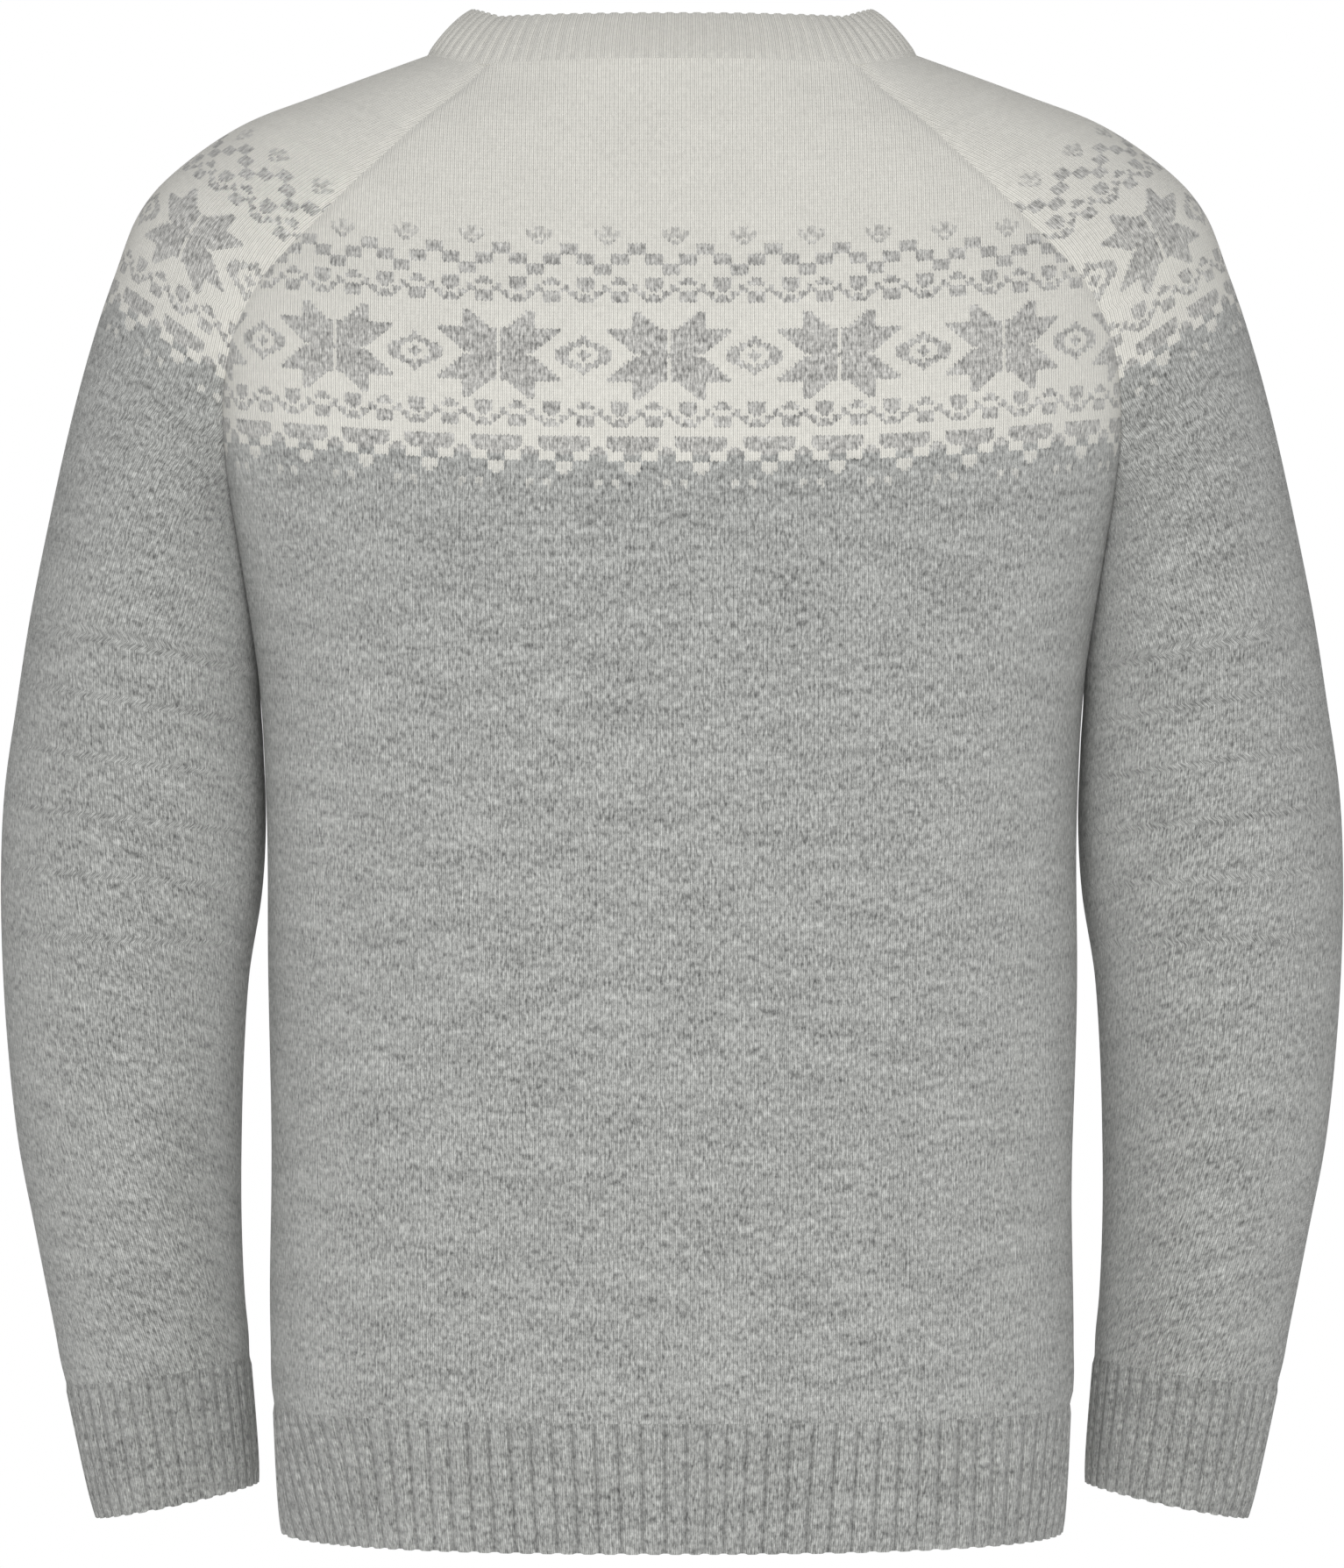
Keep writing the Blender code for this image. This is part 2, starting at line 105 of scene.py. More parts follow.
# The torso: one row for each level section. Squareness 2 is an ellipse.
TORSO_NAMES = ("down", "half_width", "back_depth", "front_depth", "squareness")
TORSO_SIZES = (
    (-0.010, 0.104, 0.063, 0.062, 2.20),
    (0.003, 0.118, 0.067, 0.065, 2.20),
    (0.032, 0.168, 0.078, 0.073, 2.24),
    (0.055, 0.192, 0.087, 0.082, 2.26),
    (0.077, 0.204, 0.095, 0.090, 2.28),
    (0.094, 0.209, 0.101, 0.096, 2.30),
    (0.115, 0.212, 0.107, 0.103, 2.32),
    (0.140, 0.210, 0.111, 0.109, 2.34),
    (0.180, 0.202, 0.114, 0.115, 2.36),
    (0.225, 0.193, 0.115, 0.118, 2.38),
    (0.268, 0.186, 0.114, 0.117, 2.40),
    (0.330, 0.182, 0.110, 0.113, 2.40),
    (0.400, 0.1815, 0.106, 0.110, 2.40),
    (0.500, 0.1795, 0.107, 0.112, 2.40),
    (0.565, 0.1798, 0.112, 0.115, 2.40),
    (0.597, 0.1785, 0.112, 0.114, 2.40),
    (0.654, 0.1760, 0.109, 0.110, 2.40),
)

# The raglan seams: one row for each sleeve section from the neck to the underarm. The angle is measured round
# the torso section, from its side (0) to the middle of the back or front (90).
RAGLAN_NAMES = ("back_down", "back_angle", "front_down", "front_angle")
RAGLAN_SIZES = (
    (0.001, 45.8, 0.020, 57.7),
    (0.032, 47.9, 0.042, 56.2),
    (0.055, 44.7, 0.062, 50.9),
    (0.077, 39.2, 0.082, 45.0),
    (0.094, 32.7, 0.100, 38.8),
    (0.115, 26.8, 0.120, 32.4),
    (0.140, 20.3, 0.144, 24.7),
    (0.180, 11.0, 0.182, 15.0),
    (0.225, 5.5, 0.226, 8.5),
    (0.268, 0.0, 0.268, 0.0),
)

# The left sleeve: one row for each section, by its outermost and innermost points and its depth.
SLEEVE_NAMES = ("outer_x", "outer_down", "inner_x", "inner_down", "centre_y", "half_depth")
SLEEVE_SIZES = (
    (0.1100, -0.0075, -0.0080, 0.100, -0.001, 0.0694),
    (0.1580, 0.010, -0.0100, 0.098, -0.001, 0.0700),
    (0.1935, 0.024, 0.0070, 0.120, -0.001, 0.0712),
    (0.2230, 0.0445, 0.0240, 0.138, -0.001, 0.0700),
    (0.2396, 0.0635, 0.0490, 0.152, -0.003, 0.0666),
    (0.2500, 0.089, 0.0750, 0.163, -0.005, 0.0625),
    (0.2595, 0.116, 0.1100, 0.173, -0.008, 0.0600),
    (0.2695, 0.152, 0.1515, 0.190, -0.012, 0.0625),
    (0.2810, 0.203, 0.1815, 0.234, -0.015, 0.0655),
    (0.2900, 0.246, 0.1870, 0.268, -0.018, 0.066),
    (0.2960, 0.285, 0.1855, 0.303, -0.019, 0.065),
    (0.3010, 0.322, 0.1845, 0.336, -0.021, 0.063),
    (0.3030, 0.360, 0.1863, 0.369, -0.024, 0.062),
    (0.3030, 0.401, 0.1915, 0.404, -0.027, 0.060),
    (0.3012, 0.441, 0.1942, 0.439, -0.032, 0.058),
    (0.2970, 0.482, 0.1956, 0.475, -0.037, 0.055),
    (0.2898, 0.522, 0.1962, 0.511, -0.043, 0.052),
    (0.2832, 0.559, 0.1954, 0.546, -0.049, 0.048),
    (0.2768, 0.593, 0.1932, 0.581, -0.055, 0.043),
    (0.2646, 0.655, 0.1887, 0.639, -0.062, 0.036),
)
UNDERARM_STATION = len(RAGLAN_SIZES) - 1
CUFF_STATION = len(SLEEVE_SIZES) - 2
EDGE_STATION = len(SLEEVE_SIZES) - 1
SEAM_TURN_STATIONS = 4.0    # sections over which the underarm seam turns to the inside of the arm
UNDERARM_GAP = 0.0010
SLEEVE_TUCK = 2.6
NECK_FRONT_DEPTH = 0.082
NECK_ROUNDNESS = 2.7
NECK_DIP_FADE = 1.5
NECKBAND_WIDTH = 0.029
NECKBAND_LEAN = np.radians(41)
NECKBAND_SWELL = 0.0012
NECK_SAMPLES = 256
NECK_BLUR = 0.014           # standard deviation of the blur along the upper edge's height
NECK_TERMS = 5              # Fourier terms kept in the neckband's upper edge
HEM_SEAM = 0.597
HEM_EDGE = 0.654
NORMAL_STEP = 0.002

# The yoke's charts. Each line is a row, X is grey and a dot is cream. Its first stitch is beside the motif's
# middle line and its last one is half a repeat away, and the other half mirrors it.
UPPER_SHIFTS = (2.3,) * 5 + (1.0,) * 10 + (-3.0,) * 7   # stitches that a row's middle line lies to one side
UPPER_CHART = (
    "X.......", "X.X.....", "XXX.....", ".X......", "X.......",
    "......XX", "......XX", "......XX",
    "..XXXX..", "..XXXX..", "..XXXX..",
    "XX......", "XX......", "XX......",
    "........",
    "XX.....X", "XX....XX", "XX..X...", "X...XX..", "..XX..XX", "X.X...XX", "XX....XX",
)
STAR_CHART = (
    "XXXXXXX.......XXX..XX", ".XXXXXXXX.....XXX...X", ".XXXXXXXXX.....XXX...",
    ".XXXXXXXXXX......XXX.", ".XXXXXXXXXXX.......XX", ".XXXXXXXXXXXX.......X",
    ".XXXXXXXXXXXXX.......", ".XXXXXXXXXXXXXX......", "...XXXXXX............",
    "....XXXXX............", ".....XXXX............", "......XXX............",
    ".......XX............",
)
LOWER_SHIFTS = (5.0,) * 7 + (1.0,) * 3 + (0.4,) * 12 + (2.0,) * 3
STAR_SHIFTS = (0.5,) * 13
LOWER_CHART = (
    "XX.....X", "XX....XX", "XX..X...", "X...XX..", "..XX..XX", "X.X...XX", "XX....XX",
    "........", "........", "........",
    "..XXXXXX", "..XXXXXX", "..XXXXXX", "X..XXXXX",
    "XX....XX", "XX....XX", "XX....XX",
    "XXXXXX..", "XXXXXX..", "XXXXXX..", "XXXXXXX.",
    "XXXXXXXX", "X..XXXXX", "X..XXXXX", "XX.XXXXX",
)
STAR_START = 25             # rows below the upper chart's first
LOWER_START = 51
PATTERN_DOWN_BACK = 0.0772  # from the neck's base to the first patterned row, in the middle
PATTERN_DOWN_FRONT = 0.0900
SLEEVE_STAR_ROW = 37        # this row passes the sleeve's outer side at the station below
SLEEVE_STAR_STATION = 3.85
SLEEVE_SEAM_LAG = 0.45      # stations that it passes later beside the raglan seams
SLEEVE_STAR_AT = 30         # stitches from the sleeve's outermost line to its star, towards the back
PATTERN_MIDDLE = {"back": 1.2, "front": 0.5}    # stitches from the panel's middle to its pattern's
SAG_HALF_WIDTH = 0.198      # this far from the middle, the rows lie higher than there by the whole row_sag
SAG_POWER = 2.5             # a higher power keeps them level further out

# The grids that the pieces are drawn on.
PANEL_COLUMNS = 160
SLEEVE_COLUMNS = 130
YOKE_ROWS = 96
LOWER_ROWS = 104
ARM_ROWS = 110
RIB_STEPS = 12              # columns of the grid for each rib
RIB_ROWS = 26
CURVE_SAMPLES = 2000        # points that measure the hem's length
CUFF_SAMPLES = 200
RIM_ANGLE = np.radians(60)  # a wall's narrow edge meets its outer side at more than this, and isn't smoothed

# Seams, and the cloth's own relief.
SEAM_DENT = 0.0009
SEAM_DENT_WIDTH = 0.0022
SEAM_SLANT = 0.7            # distance across a raglan seam for each unit along a row
SEAM_BLEND = 0.006          # the seam's shared normal fades into each piece's own over this distance
EDGE_FADE = 0.006           # creases rise from nothing over this distance from a row's or column's end
SIDE_FADE = 0.02            # and over this distance from a side edge
HEM_BULGE = (0.0005, 0.013, 0.011)      # above the ribs: how far the cloth stands out, how far up, how wide
CUFF_BULGE = (0.0004, 0.012, 0.010)
PANEL_WAVES = (0.16, 0.0012)            # wavelength and height of the cloth's gentle unevenness
SLEEVE_WAVES = (0.18, 0.0006)
PANEL_CREASES_FROM = 0.06   # creases start this far down, and reach their height over the distance below
SLEEVE_CREASES_FROM = 0.08
CREASE_FADE = 0.1

# Creases: from and to, by the distance across and down, then width and height. Across runs anticlockwise from
# above, and starts at a panel's middle line or a sleeve's outermost one.
BACK_CREASES = (
    (-0.036, 0.345, -0.084, 0.595, 0.015, -0.0046),
    (-0.165, 0.250, -0.120, 0.330, 0.016, 0.0020),
    (0.165, 0.255, 0.115, 0.345, 0.018, 0.0022),
)
FRONT_CREASES = (
    (-0.160, 0.240, -0.100, 0.330, 0.018, 0.0024),
    (0.155, 0.250, 0.105, 0.325, 0.016, 0.0020),
)
SLEEVE_CREASES = (
    (-0.13, 0.33, -0.03, 0.36, 0.016, -0.0018),
    (-0.14, 0.42, -0.04, 0.40, 0.018, 0.0016),
    (0.03, 0.50, 0.12, 0.47, 0.020, -0.0010),
)

# Ribs.
STITCHES_PER_RIB = 5
NECK_STITCHES_PER_RIB = 4
RIB_CROWN = (0.75, 0.95)    # a rib's height is the eased sum of the first and the second times its cosine
RIB_WANDER = 0.10           # ribs that they stray aside
RIB_WANDER_LENGTH = 0.15    # share of the band over which they do so
RIB_FLATTENING = 0.6        # share of the relief that is lost at the free edge
RIB_FADE = 0.004            # the relief rises from nothing over this distance from the seam
RIB_SINK = 0.35             # share of the relief that lies below the plain wall
RIB_SCALLOP = 0.0005        # how far each rib's end reaches past the furrows'
EDGE_ROLL = 0.0006          # how far the free edge turns in
HEM_LEAN, CUFF_LEAN, NECK_LEAN = 0.25, 0.15, 0.10       # ribs that they lean aside by the free edge
HEM_SLANTS = {"back": ((0.12, 0.09, 0.055), (0.91, 0.07, -0.022)), "front": ()}    # place, width and shift
NECK_EDGE_LIFT = 0.0008     # the back half's upper edge is raised to this height above its middle, at least
NECK_LIFT_FADE = 0.030

# The wool.
WOOL_ROUGHNESS = 0.93
WOOL_SPECULAR = 0.18
WOOL_SHEEN = 0.45
SHEEN_ROUGHNESS = 0.6
WOOL_BUMP = 0.0006
BUMP_STRENGTH = 0.7
FLECKS = (                  # flecks for each stitch and row, and how much they lighten or darken
    ((1.9, 0.45, 1.0), 0.50),
    ((0.42, 0.60, 1.0), 0.22),
    ((0.05, 0.14, 1.0), 0.12),
)
CREAM_FLECK = 0.13          # share of the flecks that shows in cream
CLOUD_SCALE = 32.0
CLOUD_SHARE = 0.02
EDGE_WANDER = (0.7, 0.9)    # stitches aside and rows along over which fibres blur the pattern's edges
STITCH_SPREAD = ((0.12, 0.16), (-0.12, -0.16))    # stitches aside and rows along
LEG_SLOPE = 1.6             # rows that a stitch's leg falls for each stitch across
PATTERN_SLOPE = 1.2         # the same for the colours' edges, which the fibres soften
# Painted shade: the colour darkens in the gaps between columns and where a strand lies low.
GAP_FROM, GAP_TO = 0.30, 0.46           # the gap between two columns, in stitches from the column's edge
GAP_PAINTED_SHADE = 0.16
STRAND_PAINTED_SHADE = (0.34, 0.80)             # how much its height lightens a strand, and its shade at no height
# Painted shade in the ribs' furrows: the colour keeps these shares at a furrow's bottom, in grey and in
# cream.
FURROW_FROM, FURROW_TO = 0.34, 0.46     # the furrow's sides, in ribs from the rib's middle
FURROW_PAINTED_SHADE, CREAM_FURROW_PAINTED_SHADE = 0.66, 0.95
VEIL_ROWS, VEIL_SHARE = (15.0, 25.0), 0.6   # below the lower chart's first row, the cream shows less and less
FAINT_ROWS, FAINT_SHARE = (3.0, 6.0), 0.62  # the first rows' grey is faint
PLAIN_ROW = LOWER_START + 14.0          # from this row on the grey is the body's own

# The stage.
CAMERA_DISTANCE = 3.2
CAMERA_HEIGHT = -0.3195
CAMERA_LENS = 163.5
CAMERA_SENSOR = 36.0
FLOOR_HEIGHT = -1.45
FLOOR_RADIUS = 3.0
FLOOR_POINTS = 96
FLOOR_ROUGHNESS = 0.8
WORLD_LIGHT = 0.52
WORLD_SEEN = 1.0            # the world's strength where the camera sees it
LIGHT_AIM = (0.0, 0.0, -0.32)
STUDIO_LIGHTS = (
    ("strip_softbox", (0.0, 1.3, -0.33), (0.5, 1.9), 8.2),
    ("wide_softbox", (0.0, 3.4, -0.2), (2.6, 2.2), 27.0),
    ("far_softbox", (0.0, -3.4, 0.3), (2.6, 2.2), 42.0),
)


def read_table(columns, rows):
    """The table as one array for each named column."""
    return dict(zip(columns, np.array(rows, float).T))


TORSO = read_table(TORSO_NAMES, TORSO_SIZES)
RAGLAN = read_table(RAGLAN_NAMES, RAGLAN_SIZES)
SLEEVE = read_table(SLEEVE_NAMES, SLEEVE_SIZES)


def smooth(knots, values, at):
    """A cubic curve through the values, with the slope at each knot taken from both its neighbours."""
    step = np.diff(knots)
    rise = np.diff(values) / step
    slope = np.empty(len(knots))
    slope[1:-1] = (rise[:-1] * step[1:] + rise[1:] * step[:-1]) / (step[:-1] + step[1:])
    slope[0] = 1.5 * rise[0] - 0.5 * slope[1]
    slope[-1] = 1.5 * rise[-1] - 0.5 * slope[-2]
    below = np.clip(np.searchsorted(knots, at, side="right") - 1, 0, len(step) - 1)
    part = (at - knots[below]) / step[below]
    start = (1 + 2 * part) * (1 - part) ** 2 * values[below]
    leave = part * (1 - part) ** 2 * step[below] * slope[below]
    arrive = part**2 * (part - 1) * step[below] * slope[below + 1]
    end = part**2 * (3 - 2 * part) * values[below + 1]
    return start + leave + arrive + end


def torso_value(name, down):
    """One of the torso's sizes at these levels."""
    return smooth(TORSO["down"], TORSO[name], down)


def station_value(table, name, station):
    """One of a table's sizes at these stations, which count its rows."""
    return smooth(np.arange(len(table[name]), dtype=float), table[name], station)


def torso_point(angle, down):
    """A point of the torso: half width times |cos|^(2/n) across and depth times |sin|^(2/n) along, with their
    signs, where n is the section's squareness at this level."""
    power = 2 / torso_value("squareness", down)
    back = torso_value("back_depth", down)
    front = torso_value("front_depth", down)
    depth = np.where(np.sin(angle) >= 0, back, front)
    across = np.sign(np.cos(angle)) * np.abs(np.cos(angle)) ** power
    along = np.sign(np.sin(angle)) * np.abs(np.sin(angle)) ** power
    x = torso_value("half_width", down) * across
    return np.stack([x, depth * along, -down + 0 * x], axis=-1)


def torso_normal(angle, down):
    """The torso's outward unit normal: the cross product of the differences a small step down and around."""
    around = torso_point(angle + NORMAL_STEP, down) - torso_point(angle - NORMAL_STEP, down)
    downwards = torso_point(angle, down + NORMAL_STEP) - torso_point(angle, down - NORMAL_STEP)
    return unit(np.cross(downwards, around))


def unit(vectors):
    """Each vector divided by its length."""
    return vectors / np.linalg.norm(vectors, axis=-1, keepdims=True)


def angle_at_width(x, down):
    """The angle at which the torso's section at this level is this far out from the middle."""
    share = np.minimum(x / torso_value("half_width", down), 1)
    return np.arccos(share ** (torso_value("squareness", down) / 2))


def raglan_at(name, station):
    """How far down, and at what angle, the back or front raglan seam is at each station."""
    angle = np.radians(station_value(RAGLAN, name + "_angle", station))
    return station_value(RAGLAN, name + "_down", station), np.maximum(angle, 0)


def seam_point(name, station):
    """Points of the left back or left front raglan seam."""
    down, angle = raglan_at(name, station)
    return torso_point(angle if name == "back" else -angle, down)


def panel_places(side, columns, yoke_rows, lower_rows):
    """Angles and levels of the back (side 1) or front (side -1), anticlockwise from above, row below row.

    The yoke's rows run between the raglan seams, and the neck's edge dips towards its middle by 1 - |t|^2.7,
    which the rows below follow less and less. The rest run level between the side seams.
    """
    name = "back" if side > 0 else "front"
    neck_middle = 0.0 if side > 0 else NECK_FRONT_DEPTH
    station = np.linspace(0, UNDERARM_STATION, yoke_rows + 1)
    down, angle = raglan_at(name, station)
    lower = np.linspace(down[-1], HEM_SEAM, lower_rows + 1)[1:]
    fade = np.append((1 - station / UNDERARM_STATION) ** NECK_DIP_FADE, 0 * lower)
    across = np.linspace(-1, 1, columns + 1)
    dip = (neck_middle - down[0]) * (1 - np.abs(across) ** NECK_ROUNDNESS)
    neck_angle = angle_at_width(seam_point(name, 0.0)[0] * np.abs(across), down[0] + dip)
    shift = np.sign(across) * (np.pi / 2 - neck_angle) - across * (np.pi / 2 - angle[0])
    down = np.append(down, lower)[:, None] + np.outer(fade, dip)
    angle = np.append(angle, 0 * lower)[:, None]
    return side * np.pi / 2 + across * (np.pi / 2 - angle) + np.outer(fade, shift), down


def sleeve_sections(stations):
    """Centre, outward direction, half width and half depth of the sleeve's ellipse at each station."""
    sides = []
    for side in ("outer", "inner"):
        x = station_value(SLEEVE, side + "_x", stations)
        down = station_value(SLEEVE, side + "_down", stations)
        sides.append(np.stack([x, 0 * x, -down], axis=-1))
    outer, inner = sides
    half_width = np.linalg.norm(outer - inner, axis=-1) / 2
    outward = (outer - inner) / (2 * half_width[:, None])
    centre = (outer + inner) / 2
    centre[:, 1] = station_value(SLEEVE, "centre_y", stations)
    return centre, outward, half_width, station_value(SLEEVE, "half_depth", stations)


def on_section(sections, angle):
    """Points of the ellipses at these angles, 0 at the outer side and 90 degrees at the back."""
    centre, outward, half_width, half_depth = sections
    reach = half_width[:, None] * np.cos(angle)
    points = centre[:, None, :] + outward[:, None, :] * reach[..., None]
    points[..., 1] += half_depth[:, None] * np.sin(angle)
    return points


def angle_of(sections, points):
    """The angle at which each section looks towards its point."""
    centre, outward, half_width, half_depth = sections
    ahead = np.einsum("ij,ij->i", points - centre, outward) / half_width
    sideways = (points[:, 1] - centre[:, 1]) / half_depth
    return np.arctan2(sideways, ahead)


def sleeve_grid(stations, columns):
    """Points and angles of the left sleeve, from the front seam over the outer side to the back seam.

    Above the underarm each ellipse is drawn to the raglan seams, by (angle / end angle)^2.6 of the distance.
    Below it the section is closed, and its seam turns to the inside of the arm.
    """
    sections = sleeve_sections(stations)
    open_part = np.minimum(stations, UNDERARM_STATION)
    open_sections = sleeve_sections(open_part)
    turned = np.clip(stations - UNDERARM_STATION, 0, SEAM_TURN_STATIONS) / SEAM_TURN_STATIONS
    ends, pulls = [], []
    for name, inside in (("front", -np.pi), ("back", np.pi)):
        seam = seam_point(name, open_part)
        seam[:, 0] += UNDERARM_GAP * np.clip(open_part - UNDERARM_STATION + 1, 0, 1)
        angle = angle_of(open_sections, seam)
        if name == "front":
            angle = np.where(angle > 0, angle - 2 * np.pi, angle)
        pull = seam - on_section(open_sections, angle[:, None])[:, 0]
        ends.append((angle + turned * (inside - angle))[:, None])
        pulls.append((pull * (1 - turned)[:, None])[:, None, :])
    angle = np.linspace(ends[0], ends[1], columns + 1, axis=1)[..., 0]
    points = on_section(sections, angle)
    for end, pull in zip(ends, pulls):
        share = np.clip(angle / end, 0, 1) ** SLEEVE_TUCK
        points += share[..., None] * pull
    return points, angle


def mirrored(grid):
    """The same grid on the other side of the garment, still running anticlockwise from above."""
    return grid[:, ::-1] * np.array([-1.0, 1.0, 1.0])


def outward_normals(grid, closed):
    """Unit normals of the grid, facing out of the garment, from the differences between neighbours."""
    around = np.concatenate([grid[:, -2:-1], grid, grid[:, 1:2]], axis=1)
    across = around[:, 2:] - around[:, :-2] if closed else np.gradient(grid, axis=1)
    return unit(np.cross(np.gradient(grid, axis=0), across))


def running_length(grid, axis):
    """How far each point is along its row or column, by the sum of the steps before it."""
    steps = np.linalg.norm(np.diff(grid, axis=axis), axis=-1)
    start = np.zeros_like(np.take(steps, [0], axis=axis))
    return np.concatenate([start, np.cumsum(steps, axis=axis)], axis=axis)


def eased(x):
    """0 below 0, 1 above 1, and 3x^2 - 2x^3 between."""
    x = np.clip(x, 0, 1)
    return x * x * (3 - 2 * x)


def crease_heights(across, down, creases):
    """The sum of the creases, each a ridge or trough along a line.

    Its height falls off as exp(-(d / width)^2) with the distance d from the line's nearest point, and rises
    and falls along the line as a half sine to the power 0.7.
    """
    total = np.zeros_like(across)
    for x0, y0, x1, y1, width, height in creases:
        along = np.array([x1 - x0, y1 - y0])
        share = ((across - x0) * along[0] + (down - y0) * along[1]) / (along @ along)
        part = np.clip(share, 0, 1)
        distance = np.hypot(across - x0 - part * along[0], down - y0 - part * along[1])
        total += height * np.sin(np.pi * part) ** 0.7 * np.exp(-((distance / width) ** 2))
    return total


def soft_waves(across, down, seed, wavelength, height):
    """Gentle unevenness: a third of the sum of 9 sine waves with seeded directions, lengths and phases."""
    draws = np.random.default_rng(seed)
    total = np.zeros_like(across)
    for turn, length, phase in zip(draws.uniform(0, np.pi, 9), draws.uniform(0.7, 1.6, 9),
                                   draws.uniform(0, 2 * np.pi, 9)):
        wave = (across * np.cos(turn) + down * np.sin(turn)) * 2 * np.pi / (wavelength * length)
        total += np.sin(wave + phase)
    return total * height / 3


def add_shell(name, grid, normals, wall, uv, materials, first_ring=None):
    """A closed knitted piece: the outer grid, a copy moved in by the wall, and faces that join their edges.

    The columns close into a ring in every row from first_ring on. The inner faces take the second material.
    """
    rows, columns = grid.shape[:2]
    first_ring = rows if first_ring is None else first_ring
    cells = np.arange(rows * columns).reshape(rows, columns)
    to_inside = rows * columns
    outer = np.stack((cells[:-1, :-1], cells[1:, :-1], cells[1:, 1:], cells[:-1, 1:]), axis=-1).reshape(-1, 4)
    quads = [outer]
    rims = [cells[0], cells[-1, ::-1]]
    if first_ring > 0:
        last_open = min(first_ring, rows - 1)
        rims += [cells[last_open::-1, 0], cells[: last_open + 1, -1]]
    for rim in rims:
        quads.append(np.stack((rim[:-1], rim[1:], rim[1:] + to_inside, rim[:-1] + to_inside), axis=-1))
    outer_count = sum(len(part) for part in quads)
    quads.append(outer[:, [0, 3, 2, 1]] + to_inside)
    quads = np.concatenate(quads)
    welded = np.arange(2 * rows * columns).reshape(2, rows, columns)
    welded[:, first_ring:, -1] = welded[:, first_ring:, 0]
    used, faces = np.unique(welded.reshape(-1)[quads], return_inverse=True)
    points = np.concatenate([grid.reshape(-1, 3), (grid - wall * normals).reshape(-1, 3)])[used]
    mesh = bpy.data.meshes.new(name)
    mesh.from_pydata(points.tolist(), [], faces.reshape(-1, 4).tolist())
    mesh.shade_smooth()
    mesh.set_sharp_from_angle(angle=RIM_ANGLE)
    for material in materials:
        mesh.materials.append(material)
    index = np.zeros(len(quads), np.int32)
    index[outer_count:] = 1
    mesh.polygons.foreach_set("material_index", index)
    layer = mesh.uv_layers.new(name="stitches")
    flat = np.concatenate([uv.reshape(-1, 2)] * 2)[quads.reshape(-1)]
    layer.data.foreach_set("uv", flat.astype(np.float32).ravel())
    piece = bpy.data.objects.new(name, mesh)
    bpy.context.scene.collection.objects.link(piece)
    return piece


def hand_over(piece, nodes):
    """Tells the frame what the piece replaces and what it hangs from."""
    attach(piece, "root")
    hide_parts(*nodes)


def put(tree, kind, inputs, out=0, **settings):
    """Adds one node: its settings by name, and for each input a value or another node's output."""
    node = tree.nodes.new("ShaderNode" + kind)
    for name, value in settings.items():
        setattr(node, name, value)
    pairs = inputs.items() if isinstance(inputs, dict) else enumerate(inputs)
    for key, given in pairs:
        if isinstance(given, bpy.types.NodeSocket):
            tree.links.new(given, node.inputs[key])
        else:
            node.inputs[key].default_value = given
    return node.outputs[out]


def chart_mark(tree, column, row, chart, shifts, half_repeat, nudge):
    """1 where the chart has an X at this column and row, and 0 elsewhere.

    A ramp of steps holds each row: red its X marks as a binary number over 2^width, and green its sideways
    shift over 16, plus a half. The column is folded into the half repeat, and its digit is
    floor(number / 2^column) mod 2.
    """
    width = len(chart[0])
    place = put(tree, "Math", (row, 0.5), operation="ADD")
    place = put(tree, "Math", (place, 1 / len(chart)), operation="MULTIPLY")
    steps = put(tree, "ValToRGB", (place,))
    ramp = steps.node.color_ramp
    ramp.interpolation = "CONSTANT"
    ramp.elements.remove(ramp.elements[-1])
    for index, line in enumerate(chart):
        stop = ramp.elements[0] if index == 0 else ramp.elements.new(index / len(chart))
        code = sum(2**at for at, mark in enumerate(line) if mark == "X") / 2**width
        stop.color = (code, 0.5 + shifts[index] / 16, 0.0, 1.0)
    number = put(tree, "SeparateColor", (steps,))
    middle = put(tree, "Math", (number.node.outputs[1], 16.0, -8.0), operation="MULTIPLY_ADD")
    off = put(tree, "Math", (column, middle), operation="SUBTRACT")
    folded = put(tree, "Math", (off, half_repeat), operation="PINGPONG")
    folded = put(tree, "Math", (folded, nudge), operation="ADD")
    digit = put(tree, "Math", (folded,), operation="FLOOR")
    weight = put(tree, "Math", (2.0, digit), operation="POWER")
    number = put(tree, "Math", (number, float(2**width), 0.5), operation="MULTIPLY_ADD")
    shifted = put(tree, "Math", (number, weight), operation="DIVIDE")
    shifted = put(tree, "Math", (shifted,), operation="FLOOR")
    return put(tree, "Math", (shifted, 2.0), operation="MODULO")


def yoke_mask(tree, column, row):
    """1 on grey stitches and 0 on cream ones, from the three charts and the plain body below them."""
    marks = []
    for start, chart, shifts in ((0, UPPER_CHART, UPPER_SHIFTS), (LOWER_START, LOWER_CHART, LOWER_SHIFTS)):
        local = put(tree, "Math", (row, float(start)), operation="SUBTRACT")
        mark = chart_mark(tree, column, local, chart, shifts, 8.0, 0.0)
        inside = put(tree, "Math", (local, (len(chart) - 1) / 2, len(chart) / 2), operation="COMPARE")
        marks.append(put(tree, "Math", (mark, inside), operation="MULTIPLY"))
    middle_row = STAR_START + len(STAR_CHART) - 1
    local = put(tree, "Math", (row, float(middle_row)), operation="SUBTRACT")
    local = put(tree, "Math", (local,), operation="ABSOLUTE")
    mark = chart_mark(tree, column, local, STAR_CHART, STAR_SHIFTS, 20.0, 0.25)
    inside = put(tree, "Math", (local, len(STAR_CHART) - 0.5), operation="LESS_THAN")
    marks.append(put(tree, "Math", (mark, inside), operation="MULTIPLY"))
    total = put(tree, "Math", (row, LOWER_START + len(LOWER_CHART) - 0.5), operation="GREATER_THAN")
    for mark in marks:
        total = put(tree, "Math", (total, mark), operation="MAXIMUM")
    return total


